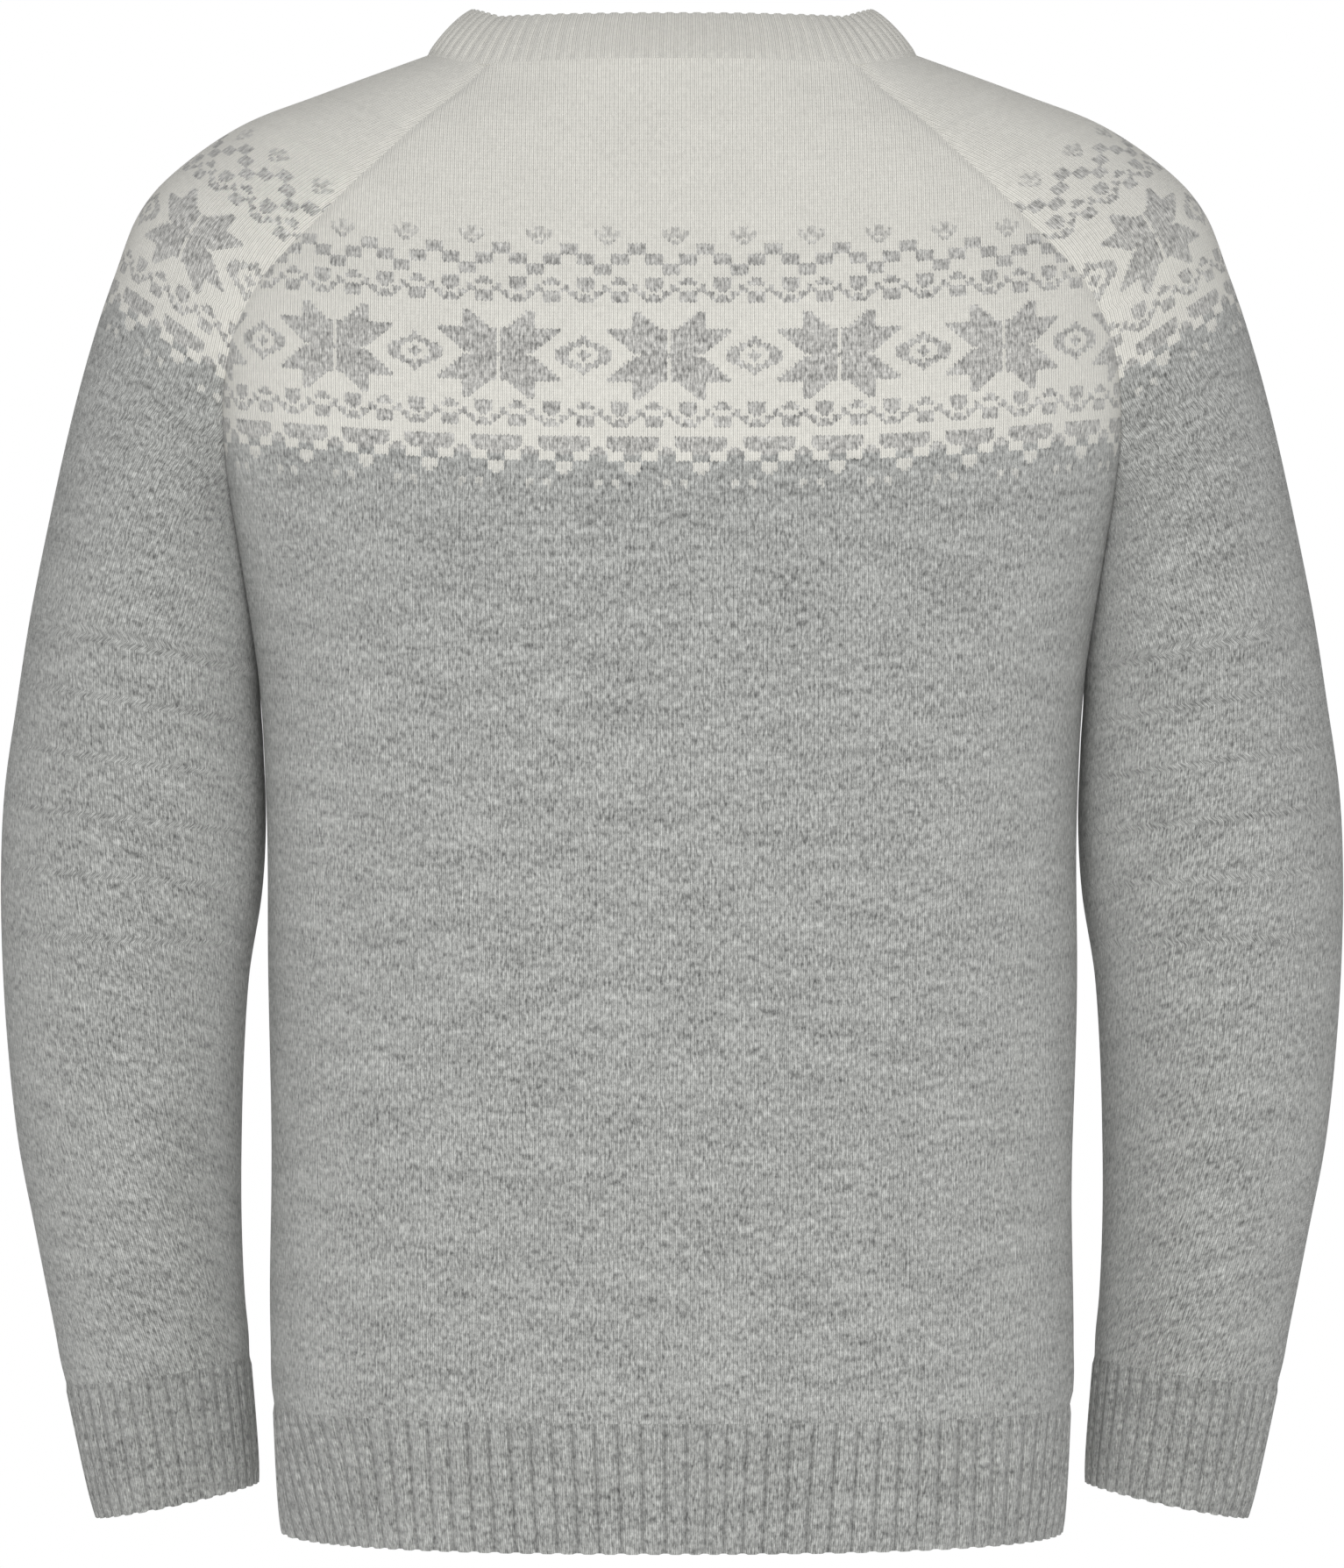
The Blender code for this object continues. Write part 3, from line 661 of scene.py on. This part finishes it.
def lambswool(name, colours, patterned=False, cream=False, stitches_per_rib=0, reverse=False):
    """Two-ply carded lambswool, knitted and brushed a little: matt, with a soft halo and short flecks of
    darker and lighter fibre along each column of V-shaped stitches. Its colour also carries painted shade
    where a strand lies low, in the gaps between columns and in the ribs' furrows. The UV map counts
    stitches and rows."""
    material = bpy.data.materials.new(name)
    material.use_nodes = True
    tree = material.node_tree
    surface = tree.nodes["Principled BSDF"]
    surface.inputs["Roughness"].default_value = WOOL_ROUGHNESS
    surface.inputs["Specular IOR Level"].default_value = WOOL_SPECULAR
    surface.inputs["Sheen Weight"].default_value = WOOL_SHEEN
    surface.inputs["Sheen Roughness"].default_value = SHEEN_ROUGHNESS
    place = put(tree, "TexCoord", (), out=2)
    body_place = put(tree, "TexCoord", (), out=3)
    axes = put(tree, "SeparateXYZ", (place,)).node.outputs
    # Fibres blur each stitch's edge: it wanders by up to about a third of a stitch and half a row.
    wander = put(tree, "TexNoise", {"Vector": place, "Scale": 0.9, "Detail": 2.0}, out=1)
    wander = put(tree, "SeparateXYZ", (wander,)).node.outputs
    u = put(tree, "Math", (wander[0], EDGE_WANDER[0], axes[0]), operation="MULTIPLY_ADD")
    v = put(tree, "Math", (wander[1], EDGE_WANDER[1], axes[1]), operation="MULTIPLY_ADD")
    u = put(tree, "Math", (u, EDGE_WANDER[0] / 2), operation="SUBTRACT")
    v = put(tree, "Math", (v, EDGE_WANDER[1] / 2), operation="SUBTRACT")
    # A stitch is a V: its two legs meet in its column's middle, and each leg is a rounded strand.
    leg = put(tree, "Math", (axes[0], 0.5), operation="PINGPONG")
    slope = put(tree, "Math", (leg, -LEG_SLOPE, axes[1]), operation="MULTIPLY_ADD")
    strand = put(tree, "Math", (slope,), operation="FRACT")
    strand = put(tree, "Math", (strand, 0.5), operation="PINGPONG")
    strand = put(tree, "Math", (strand, 2.0), operation="MULTIPLY")
    across = put(tree, "Math", (leg, 0.25), operation="PINGPONG")
    across = put(tree, "Math", (across, 4.0), operation="MULTIPLY")
    gap = put(tree, "MapRange", (leg, GAP_FROM, GAP_TO, 0.0, 1.0))
    if reverse:
        height = put(tree, "Math", (strand, 0.8), operation="MULTIPLY")
    else:
        height = put(tree, "Math", (strand, 0.45, 0.55), operation="MULTIPLY_ADD")
        height = put(tree, "Math", (height, across), operation="MULTIPLY")
        height = put(tree, "Math", (height, 0.6), operation="POWER")
    # Flecks: strokes half a stitch wide and two rows long, blots of two stitches, long smears, and clouds.
    flecks = 0.0
    for stretch, share in FLECKS:
        stroke = put(tree, "VectorMath", (place, stretch), operation="MULTIPLY")
        fleck = put(tree, "TexNoise", {"Vector": stroke, "Scale": 1.0, "Detail": 2.0, "Roughness": 0.6})
        fleck = put(tree, "MapRange", (fleck, 0.32, 0.68, -share, share), clamp=True)
        flecks = put(tree, "Math", (fleck, flecks), operation="ADD")
    cloud = put(tree, "TexNoise", {"Vector": body_place, "Scale": CLOUD_SCALE, "Detail": 2.0})
    cloud = put(tree, "MapRange", (cloud, 0.3, 0.7, -1.0, 1.0))
    if patterned:
        # Each leg of a stitch lies over its neighbours a little, so a grey stitch shows wider than its place.
        slanted = put(tree, "Math", (leg, -PATTERN_SLOPE, v), operation="MULTIPLY_ADD")
        mask = 0.0
        for aside, along in STITCH_SPREAD:
            column = put(tree, "Math", (u, aside), operation="ADD")
            column = put(tree, "Math", (column,), operation="FLOOR")
            column = put(tree, "Math", (column, 0.5), operation="ADD")
            row = put(tree, "Math", (slanted, PATTERN_SLOPE / 2 + along), operation="ADD")
            row = put(tree, "Math", (row,), operation="FLOOR")
            mask = put(tree, "Math", (yoke_mask(tree, column, row), mask), operation="MAXIMUM")
        # Towards the plain body the cream shows less and less against the grey behind it.
        first, last = (LOWER_START + rows for rows in VEIL_ROWS)
        veil = put(tree, "MapRange", (v, first, last, 0.0, VEIL_SHARE))
        mask = put(tree, "Math", (mask, veil), operation="MAXIMUM")
        faint = put(tree, "MapRange", (v, *FAINT_ROWS, FAINT_SHARE, 1.0))
        mask = put(tree, "Math", (mask, faint), operation="MULTIPLY")
        plain = put(tree, "Math", (row, PLAIN_ROW), operation="GREATER_THAN")
        grey = put(tree, "Mix", {0: plain, 6: (*colours.motif, 1.0), 7: (*colours.heather, 1.0)}, out=2,
                   data_type="RGBA")
        base = put(tree, "Mix", {0: mask, 6: (*colours.cream, 1.0), 7: grey}, out=2, data_type="RGBA")
        strength = put(tree, "Math", (mask, 1.0 - CREAM_FLECK, CREAM_FLECK), operation="MULTIPLY_ADD")
        tone = put(tree, "Math", (flecks, strength, 1.0), operation="MULTIPLY_ADD")
    else:
        base = (*(colours.cream if cream else colours.rib), 1.0)
        tone = put(tree, "Math", (flecks, CREAM_FLECK if cream else 1.0, 1.0), operation="MULTIPLY_ADD")
    tone = put(tree, "Math", (cloud, CLOUD_SHARE, tone), operation="MULTIPLY_ADD")
    # Painted shade: a strand's height lightens the colour and the gap between columns darkens it.
    shade = put(tree, "Math", (height, *STRAND_PAINTED_SHADE), operation="MULTIPLY_ADD")
    shade = put(tree, "Math", (gap, -GAP_PAINTED_SHADE, shade), operation="MULTIPLY_ADD")
    tone = put(tree, "Math", (tone, shade), operation="MULTIPLY")
    if stitches_per_rib:
        # Painted shade: the colour darkens over each furrow between the ribs.
        furrow = put(tree, "Math", (axes[0], stitches_per_rib / 2), operation="PINGPONG")
        near, far = stitches_per_rib * FURROW_FROM, stitches_per_rib * FURROW_TO
        deepest_painted_shade = CREAM_FURROW_PAINTED_SHADE if cream else FURROW_PAINTED_SHADE
        furrow = put(tree, "MapRange", (furrow, near, far, 1.0, deepest_painted_shade))
        tone = put(tree, "Math", (tone, furrow), operation="MULTIPLY")
    colour = put(tree, "VectorMath", {0: base[:3] if isinstance(base, tuple) else base, "Scale": tone},
                 operation="SCALE")
    tree.links.new(colour, surface.inputs["Base Color"])
    normal = put(tree, "Bump", {"Height": height, "Distance": WOOL_BUMP, "Strength": BUMP_STRENGTH})
    tree.links.new(normal, surface.inputs["Normal"])
    return material


def left_sleeve():
    """The left sleeve's points, normals and angles, from the neck to the cuff's seam."""
    raglan = np.linspace(0, UNDERARM_STATION, YOKE_ROWS + 1)
    arm = np.linspace(UNDERARM_STATION, CUFF_STATION, ARM_ROWS + 1)
    stations = np.append(raglan, arm[1:])
    grid, angle = sleeve_grid(stations, SLEEVE_COLUMNS)
    normals = outward_normals(grid, closed=False)
    normals[YOKE_ROWS:] = outward_normals(grid, closed=True)[YOKE_ROWS:]
    return grid, normals, angle, stations


def panel(side):
    """The back's (side 1) or front's (side -1) points and normals."""
    places = panel_places(side, PANEL_COLUMNS, YOKE_ROWS, LOWER_ROWS)
    return torso_point(*places), torso_normal(*places)


def joined_normals(normals, distance, neighbour, column):
    """The normals, turned near this edge column towards the mean of its own and the neighbour's."""
    shared = unit(normals[: len(neighbour), column] + neighbour)
    weight = np.exp(-((distance[: len(neighbour)] / SEAM_BLEND) ** 2))[..., None]
    result = normals.copy()
    own = normals[: len(neighbour)]
    result[: len(neighbour)] = unit(own * (1 - weight) + shared[:, None] * weight)
    return result


def from_edges(grid):
    """Distances from the left, right, top and bottom edges, along the rows and columns."""
    along_rows, along_columns = running_length(grid, 1), running_length(grid, 0)
    return (along_rows, along_rows[:, -1:] - along_rows, along_columns, along_columns[-1:] - along_columns)


def seam_dent(edge):
    """The raglan seam's shallow dent, on the yoke's rows: exp(-(d / width)^2) of the distance d across it."""
    on_yoke = (np.arange(len(edge)) <= YOKE_ROWS)[:, None]
    return SEAM_DENT * np.exp(-((edge * SEAM_SLANT / SEAM_DENT_WIDTH) ** 2)) * on_yoke


def bulge(bottom, shape):
    """Cloth that stands out above tight ribs: exp(-((d - up) / width)^2) of the distance d from the seam."""
    height, up, width = shape
    return height * np.exp(-(((bottom - up) / width) ** 2)) * eased(bottom / EDGE_FADE)


class PULLOVER_OT_back_and_front(bpy.types.Operator):
    """Add the back and front panels"""

    bl_idname = "pullover.back_and_front"
    bl_label = "Back and Front"

    def execute(self, context):
        sizes, colours = context.scene.pullover_sizes, context.scene.pullover_colours
        materials = (lambswool("yoke_lambswool", colours, patterned=True),
                     lambswool("lambswool_reverse", colours, patterned=True, reverse=True))
        beside = left_sleeve()[1][: YOKE_ROWS + 1]
        for side, name, seam, creases in ((1, "back", -1, BACK_CREASES), (-1, "front", 0, FRONT_CREASES)):
            grid, normals = panel(side)
            left, right, top, bottom = from_edges(grid)
            flip = np.array([-1.0, 1.0, 1.0])
            first, last = (beside[:, seam], beside[:, seam] * flip)[::side]
            normals = joined_normals(normals, left, first, 0)
            normals = joined_normals(normals, right, last, -1)
            middle = PANEL_COLUMNS // 2
            across = left - left[:, middle : middle + 1]
            down = -grid[..., 2]
            edge = np.minimum(left, right)
            fade = eased(top / EDGE_FADE) * eased(bottom / EDGE_FADE) * eased(edge / SIDE_FADE)
            height = crease_heights(across, down, creases) + soft_waves(across, down, 11 + side, *PANEL_WAVES)
            height = height * fade * eased((down - PANEL_CREASES_FROM) / CREASE_FADE)
            height += bulge(bottom, HEM_BULGE)
            height -= seam_dent(edge)
            start = PATTERN_DOWN_BACK if side > 0 else PATTERN_DOWN_FRONT
            sag = sizes.row_sag * np.abs(grid[..., 0] / SAG_HALF_WIDTH) ** SAG_POWER
            rows = (down + sag - start) / sizes.row
            uv = np.stack([across / sizes.stitch + PATTERN_MIDDLE[name], rows], axis=-1)
            piece = add_shell("knit_" + name, grid + height[..., None] * normals, normals,
                              sizes.cloth_wall, uv, materials)
            hand_over(piece, [name])
        return {"FINISHED"}


class PULLOVER_OT_sleeves(bpy.types.Operator):
    """Add the two raglan sleeves"""

    bl_idname = "pullover.sleeves"
    bl_label = "Sleeves"

    def execute(self, context):
        sizes, colours = context.scene.pullover_sizes, context.scene.pullover_colours
        materials = (lambswool("sleeve_lambswool", colours, patterned=True),
                     lambswool("sleeve_lambswool_reverse", colours, patterned=True, reverse=True))
        grid, normals, angle, stations = left_sleeve()
        left, right, top, bottom = from_edges(grid)
        for distance, side, name, column in ((right, 1, "back", -1), (left, -1, "front", 0)):
            down, seam_angle = raglan_at(name, stations[: YOKE_ROWS + 1])
            normals = joined_normals(normals, distance, torso_normal(side * seam_angle, down), column)
        outermost = np.argmin(np.abs(angle), axis=1)[:, None]
        across = left - np.take_along_axis(left, outermost, axis=1)
        nearness = (angle / np.where(angle < 0, angle[:, :1], angle[:, -1:])) ** 2
        star_station = SLEEVE_STAR_STATION + SLEEVE_SEAM_LAG * nearness[:YOKE_ROWS].mean(axis=0)
        at_star = np.array([np.interp(station, stations, column)
                            for station, column in zip(star_station, top.T)])
        rows = SLEEVE_STAR_ROW + 0.5 + (top - at_star) / sizes.row
        height = soft_waves(across, top, 5, *SLEEVE_WAVES)
        height += crease_heights(across, top, SLEEVE_CREASES)
        edge = np.minimum(left, right)
        fade = eased(top / EDGE_FADE) * eased(bottom / EDGE_FADE)
        height = height * fade * eased(edge / SIDE_FADE) * eased((top - SLEEVE_CREASES_FROM) / CREASE_FADE)
        height += bulge(bottom, CUFF_BULGE)
        height -= seam_dent(edge)
        grid = grid + height[..., None] * normals
        for name, turn, sign in (("left", np.asarray, 1.0), ("right", mirrored, -1.0)):
            flip = np.s_[:, ::-1] if sign < 0 else np.s_[:, :]
            uv = np.stack([sign * across / sizes.stitch + 0.5 - sign * SLEEVE_STAR_AT, rows], axis=-1)[flip]
            piece = add_shell("knit_sleeve_" + name, turn(grid), turn(normals), sizes.cloth_wall, uv,
                              materials, first_ring=YOKE_ROWS)
            hand_over(piece, ["sleeve_" + name])
        return {"FINISHED"}


def ribbed(grid, ribs, relief, lean, seed, slants):
    """The ribs' height, their phase, how much each point is rib (1) or furrow (0), and its depth in the band.

    The height is relief times the eased half wave of the phase, and is less towards the free edge. The phase
    leans a little, wanders slowly, and slants at each given place by exp(-(d / width)^2) of the distance d.
    """
    columns = grid.shape[1] - 1
    share = np.arange(columns + 1) / columns
    depth = running_length(grid, 0)
    phase = np.broadcast_to(share * ribs, grid.shape[:2]).copy()
    wander = soft_waves(share, 0 * share, seed, RIB_WANDER_LENGTH, RIB_WANDER)
    phase += (wander - wander[0]) * np.sin(np.pi * share) ** 0.3
    phase += lean * np.sin(2 * np.pi * share * 2) * depth / depth.max()
    for place, width, shift in slants:
        phase -= ribs * shift * np.exp(-(((share - place) / width) ** 2)) * depth / depth.max()
    knit = eased(RIB_CROWN[0] + RIB_CROWN[1] * np.cos(2 * np.pi * phase))
    return knit * relief * (1 - RIB_FLATTENING * (depth / depth[-1:]) ** 4), phase, knit, depth


def add_rib(node, grid, normals, ribs, seed, lean, relief, sizes, materials, stitches,
            first_ring, upwards=False, slants=()):
    """One ribbed band: its ribs, its scalloped free edge, its shell, and what the frame is told of it.

    The band runs away from its seam, or towards it where it is knitted upwards.
    """
    if upwards:
        grid, normals = grid[::-1], normals[::-1]
    height, phase, knit, depth = ribbed(grid, ribs, relief, lean, seed, slants)
    share = depth / depth[-1:]
    rise = eased(depth / RIB_FADE)
    edge = unit(grid[-1] - grid[-2])
    scallop = (RIB_SCALLOP * (knit - 0.5) * share**6)[..., None] * edge
    roll = -EDGE_ROLL * share**10
    grid = grid + (height * rise + roll - relief * RIB_SINK * rise)[..., None] * normals + scallop
    uv = np.stack([phase * stitches, depth / sizes.row], axis=-1)
    if upwards:
        grid, normals, uv = grid[::-1], normals[::-1], uv[::-1]
    piece = add_shell("rib_" + node, grid, normals, sizes.rib_wall, uv, materials, first_ring=first_ring)
    hand_over(piece, [node])


class PULLOVER_OT_hem_ribs(bpy.types.Operator):
    """Add the ribbed hem, in a back and a front half"""

    bl_idname = "pullover.hem_ribs"
    bl_label = "Hem Ribs"

    def execute(self, context):
        sizes, colours = context.scene.pullover_sizes, context.scene.pullover_colours
        materials = (lambswool("grey_rib_lambswool", colours, stitches_per_rib=STITCHES_PER_RIB),
                     lambswool("grey_rib_reverse", colours, stitches_per_rib=STITCHES_PER_RIB))
        for name, start, seed in (("back", 0.0, 3), ("front", np.pi, 4)):
            fine = np.linspace(start, start + np.pi, CURVE_SAMPLES)
            run = running_length(torso_point(fine, np.full(CURVE_SAMPLES, HEM_SEAM))[None], 1)[0]
            ribs = round(run[-1] / sizes.hem_rib)
            angles = np.interp(np.linspace(0, run[-1], ribs * RIB_STEPS + 1), run, fine)
            places = np.meshgrid(angles, np.linspace(HEM_SEAM, HEM_EDGE, RIB_ROWS + 1))
            add_rib("hem_rib_" + name, torso_point(*places), torso_normal(*places), ribs, seed, HEM_LEAN,
                    sizes.rib_relief, sizes, materials, STITCHES_PER_RIB, None,
                    slants=HEM_SLANTS[name])
        return {"FINISHED"}


class PULLOVER_OT_cuffs(bpy.types.Operator):
    """Add the two ribbed cuffs"""

    bl_idname = "pullover.cuffs"
    bl_label = "Cuffs"

    def execute(self, context):
        sizes, colours = context.scene.pullover_sizes, context.scene.pullover_colours
        materials = (lambswool("cuff_rib_lambswool", colours, stitches_per_rib=STITCHES_PER_RIB),
                     lambswool("cuff_rib_reverse", colours, stitches_per_rib=STITCHES_PER_RIB))
        stations = np.linspace(CUFF_STATION, EDGE_STATION, RIB_ROWS + 1)
        coarse = sleeve_grid(stations, CUFF_SAMPLES)[0]
        ribs = round(running_length(coarse, 1)[0, -1] / sizes.cuff_rib)
        grid = sleeve_grid(stations, ribs * RIB_STEPS)[0]
        normals = outward_normals(grid, closed=True)
        for name, turn, seed in (("left", np.asarray, 6), ("right", mirrored, 7)):
            add_rib("cuff_" + name, turn(grid), turn(normals), ribs, seed, CUFF_LEAN, sizes.rib_relief,
                    sizes, materials, STITCHES_PER_RIB, 0)
        return {"FINISHED"}


def softened(ring, run, at):
    """The closed curve's first few Fourier terms across and along, and its height blurred by a Gaussian, with
    their slopes, at these lengths along it. They leave out the neck's corners at the raglan seams."""
    even = np.linspace(0, run[-1], NECK_SAMPLES + 1)[:-1]
    places = np.stack([np.interp(even, run, part) for part in ring.T], axis=-1)
    terms = np.fft.rfft(places, axis=0)
    order = np.arange(len(terms))[:, None]
    blur = np.exp(-((order * 2 * np.pi * NECK_BLUR / run[-1]) ** 2) / 2)
    terms = terms * np.where([True, True, False], order < NECK_TERMS, blur)
    slopes = terms * 1j * order
    curves = [np.fft.irfft(part, n=NECK_SAMPLES, axis=0) for part in (terms, slopes)]
    return [np.stack([np.interp(at, even, part, period=run[-1]) for part in curve.T], axis=-1)
            for curve in curves]


class PULLOVER_OT_neckband(bpy.types.Operator):
    """Add the ribbed neckband"""

    bl_idname = "pullover.neckband"
    bl_label = "Neckband"

    def execute(self, context):
        sizes, colours = context.scene.pullover_sizes, context.scene.pullover_colours
        materials = tuple(lambswool(name, colours, cream=True, stitches_per_rib=NECK_STITCHES_PER_RIB)
                          for name in ("cream_rib_lambswool", "cream_rib_reverse"))
        sleeve = left_sleeve()[0]
        back, front = panel(1)[0], panel(-1)[0]
        parts = [sleeve[0], back[0], mirrored(sleeve)[0], front[0]]
        seam = np.concatenate([part[:-1] for part in parts] + [sleeve[0, :1]])
        run = running_length(seam[None], 1)[0]
        ribs = round(run[-1] / sizes.neck_rib)
        even = np.linspace(0, run[-1], ribs * RIB_STEPS + 1)
        soft, along = softened(seam, run, even)
        seam = np.stack([np.interp(even, run, part) for part in seam.T], axis=-1)
        level = unit(soft * np.array([1.0, 1.0, 0.0]))
        facing = np.cos(NECKBAND_LEAN) * level + np.sin(NECKBAND_LEAN) * np.array([0.0, 0.0, 1.0])
        rise = unit(np.cross(facing, along))
        share = np.linspace(1, 0, RIB_ROWS + 1)[:, None, None]
        swell = 4 * share * (1 - share) * NECKBAND_SWELL
        grid = seam + share * (soft - seam + NECKBAND_WIDTH * rise) + swell * facing
        # The worn band stretches where it would dip beside the back's middle.
        edge = grid[0]
        level_edge = edge[np.argmax(edge[:, 1]), 2] + NECK_EDGE_LIFT
        lift = np.clip(level_edge - edge[:, 2], 0, None) * eased(edge[:, 1] / NECK_LIFT_FADE)
        grid[..., 2] += share[..., 0] ** 2 * lift
        normals = outward_normals(grid, closed=True)
        add_rib("neckband", grid, normals, ribs, 9, NECK_LEAN, sizes.neck_relief, sizes, materials,
                NECK_STITCHES_PER_RIB, 0,
                upwards=True)
        return {"FINISHED"}


class PULLOVER_OT_stage(bpy.types.Operator):
    """Add the camera, the pale floor and the soft studio light"""

    bl_idname = "pullover.stage"
    bl_label = "Stage"

    def execute(self, context):
        scene = context.scene
        camera = bpy.data.objects.new("camera", bpy.data.cameras.new("camera"))
        scene.collection.objects.link(camera)
        camera.location = (0.0, CAMERA_DISTANCE, CAMERA_HEIGHT)
        camera.rotation_euler = (np.pi / 2, 0.0, np.pi)
        camera.data.lens = CAMERA_LENS
        camera.data.sensor_width = CAMERA_SENSOR
        scene.camera = camera
        scene.view_settings.view_transform = "Standard"
        turn = np.linspace(0, 2 * np.pi, FLOOR_POINTS + 1)[:-1]
        rim = FLOOR_RADIUS * np.stack([np.cos(turn), np.sin(turn), 0 * turn], axis=-1)
        rim[:, 2] = FLOOR_HEIGHT
        mesh = bpy.data.meshes.new("floor")
        mesh.from_pydata(rim.tolist(), [], [list(range(FLOOR_POINTS))])
        paint = bpy.data.materials.new("floor_paint")
        paint.use_nodes = True
        surface = paint.node_tree.nodes["Principled BSDF"]
        surface.inputs["Base Color"].default_value = (*scene.pullover_colours.floor, 1.0)
        surface.inputs["Roughness"].default_value = FLOOR_ROUGHNESS
        mesh.materials.append(paint)
        floor = bpy.data.objects.new("floor", mesh)
        scene.collection.objects.link(floor)
        world = bpy.data.worlds.new("studio")
        scene.world = world
        world.use_nodes = True
        tree = world.node_tree
        seen = put(tree, "LightPath", ())
        strength = put(tree, "MapRange", (seen, 0.0, 1.0, WORLD_LIGHT, WORLD_SEEN))
        tree.links.new(strength, tree.nodes["Background"].inputs["Strength"])
        tree.nodes["Background"].inputs["Color"].default_value = (1.0, 1.0, 1.0, 1.0)
        for name, place, size, power in STUDIO_LIGHTS:
            light = bpy.data.lights.new(name, "AREA")
            light.shape = "RECTANGLE"
            light.size, light.size_y = size
            light.energy = power
            lamp = bpy.data.objects.new(name, light)
            scene.collection.objects.link(lamp)
            lamp.location = place
            aim = np.array(LIGHT_AIM) - np.array(place)
            lamp.rotation_euler = Vector(aim).to_track_quat("-Z", "Y").to_euler()
            lamp.visible_camera = False
        return {"FINISHED"}


class PULLOVER_PT_panel(bpy.types.Panel):
    """The sidebar panel that lists the sizes, the colours and the pieces"""

    bl_label = "Pullover"
    bl_idname = "PULLOVER_PT_panel"
    bl_space_type = "VIEW_3D"
    bl_region_type = "UI"
    bl_category = "Pullover"

    def draw(self, context):
        for group in (context.scene.pullover_sizes, context.scene.pullover_colours):
            for name in group.__annotations__:
                self.layout.prop(group, name)
        for piece in PIECES:
            self.layout.operator(piece.bl_idname)


PIECES = (PULLOVER_OT_stage, PULLOVER_OT_back_and_front, PULLOVER_OT_sleeves, PULLOVER_OT_hem_ribs,
          PULLOVER_OT_cuffs, PULLOVER_OT_neckband)
CLASSES = (PulloverSizes, PulloverColours, *PIECES, PULLOVER_PT_panel)


def register():
    """Registers the classes, and hangs both groups of properties on the scene."""
    for each in CLASSES:
        bpy.utils.register_class(each)
    bpy.types.Scene.pullover_sizes = PointerProperty(type=PulloverSizes)
    bpy.types.Scene.pullover_colours = PointerProperty(type=PulloverColours)


def unregister():
    """Undoes register, in the opposite order."""
    del bpy.types.Scene.pullover_sizes
    del bpy.types.Scene.pullover_colours
    for each in reversed(CLASSES):
        bpy.utils.unregister_class(each)


def main():
    """Builds every piece in order."""
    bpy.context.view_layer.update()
    register()
    for piece in PIECES:
        group, name = piece.bl_idname.split(".")
        getattr(getattr(bpy.ops, group), name)()


if __name__ == "__main__":
    main()
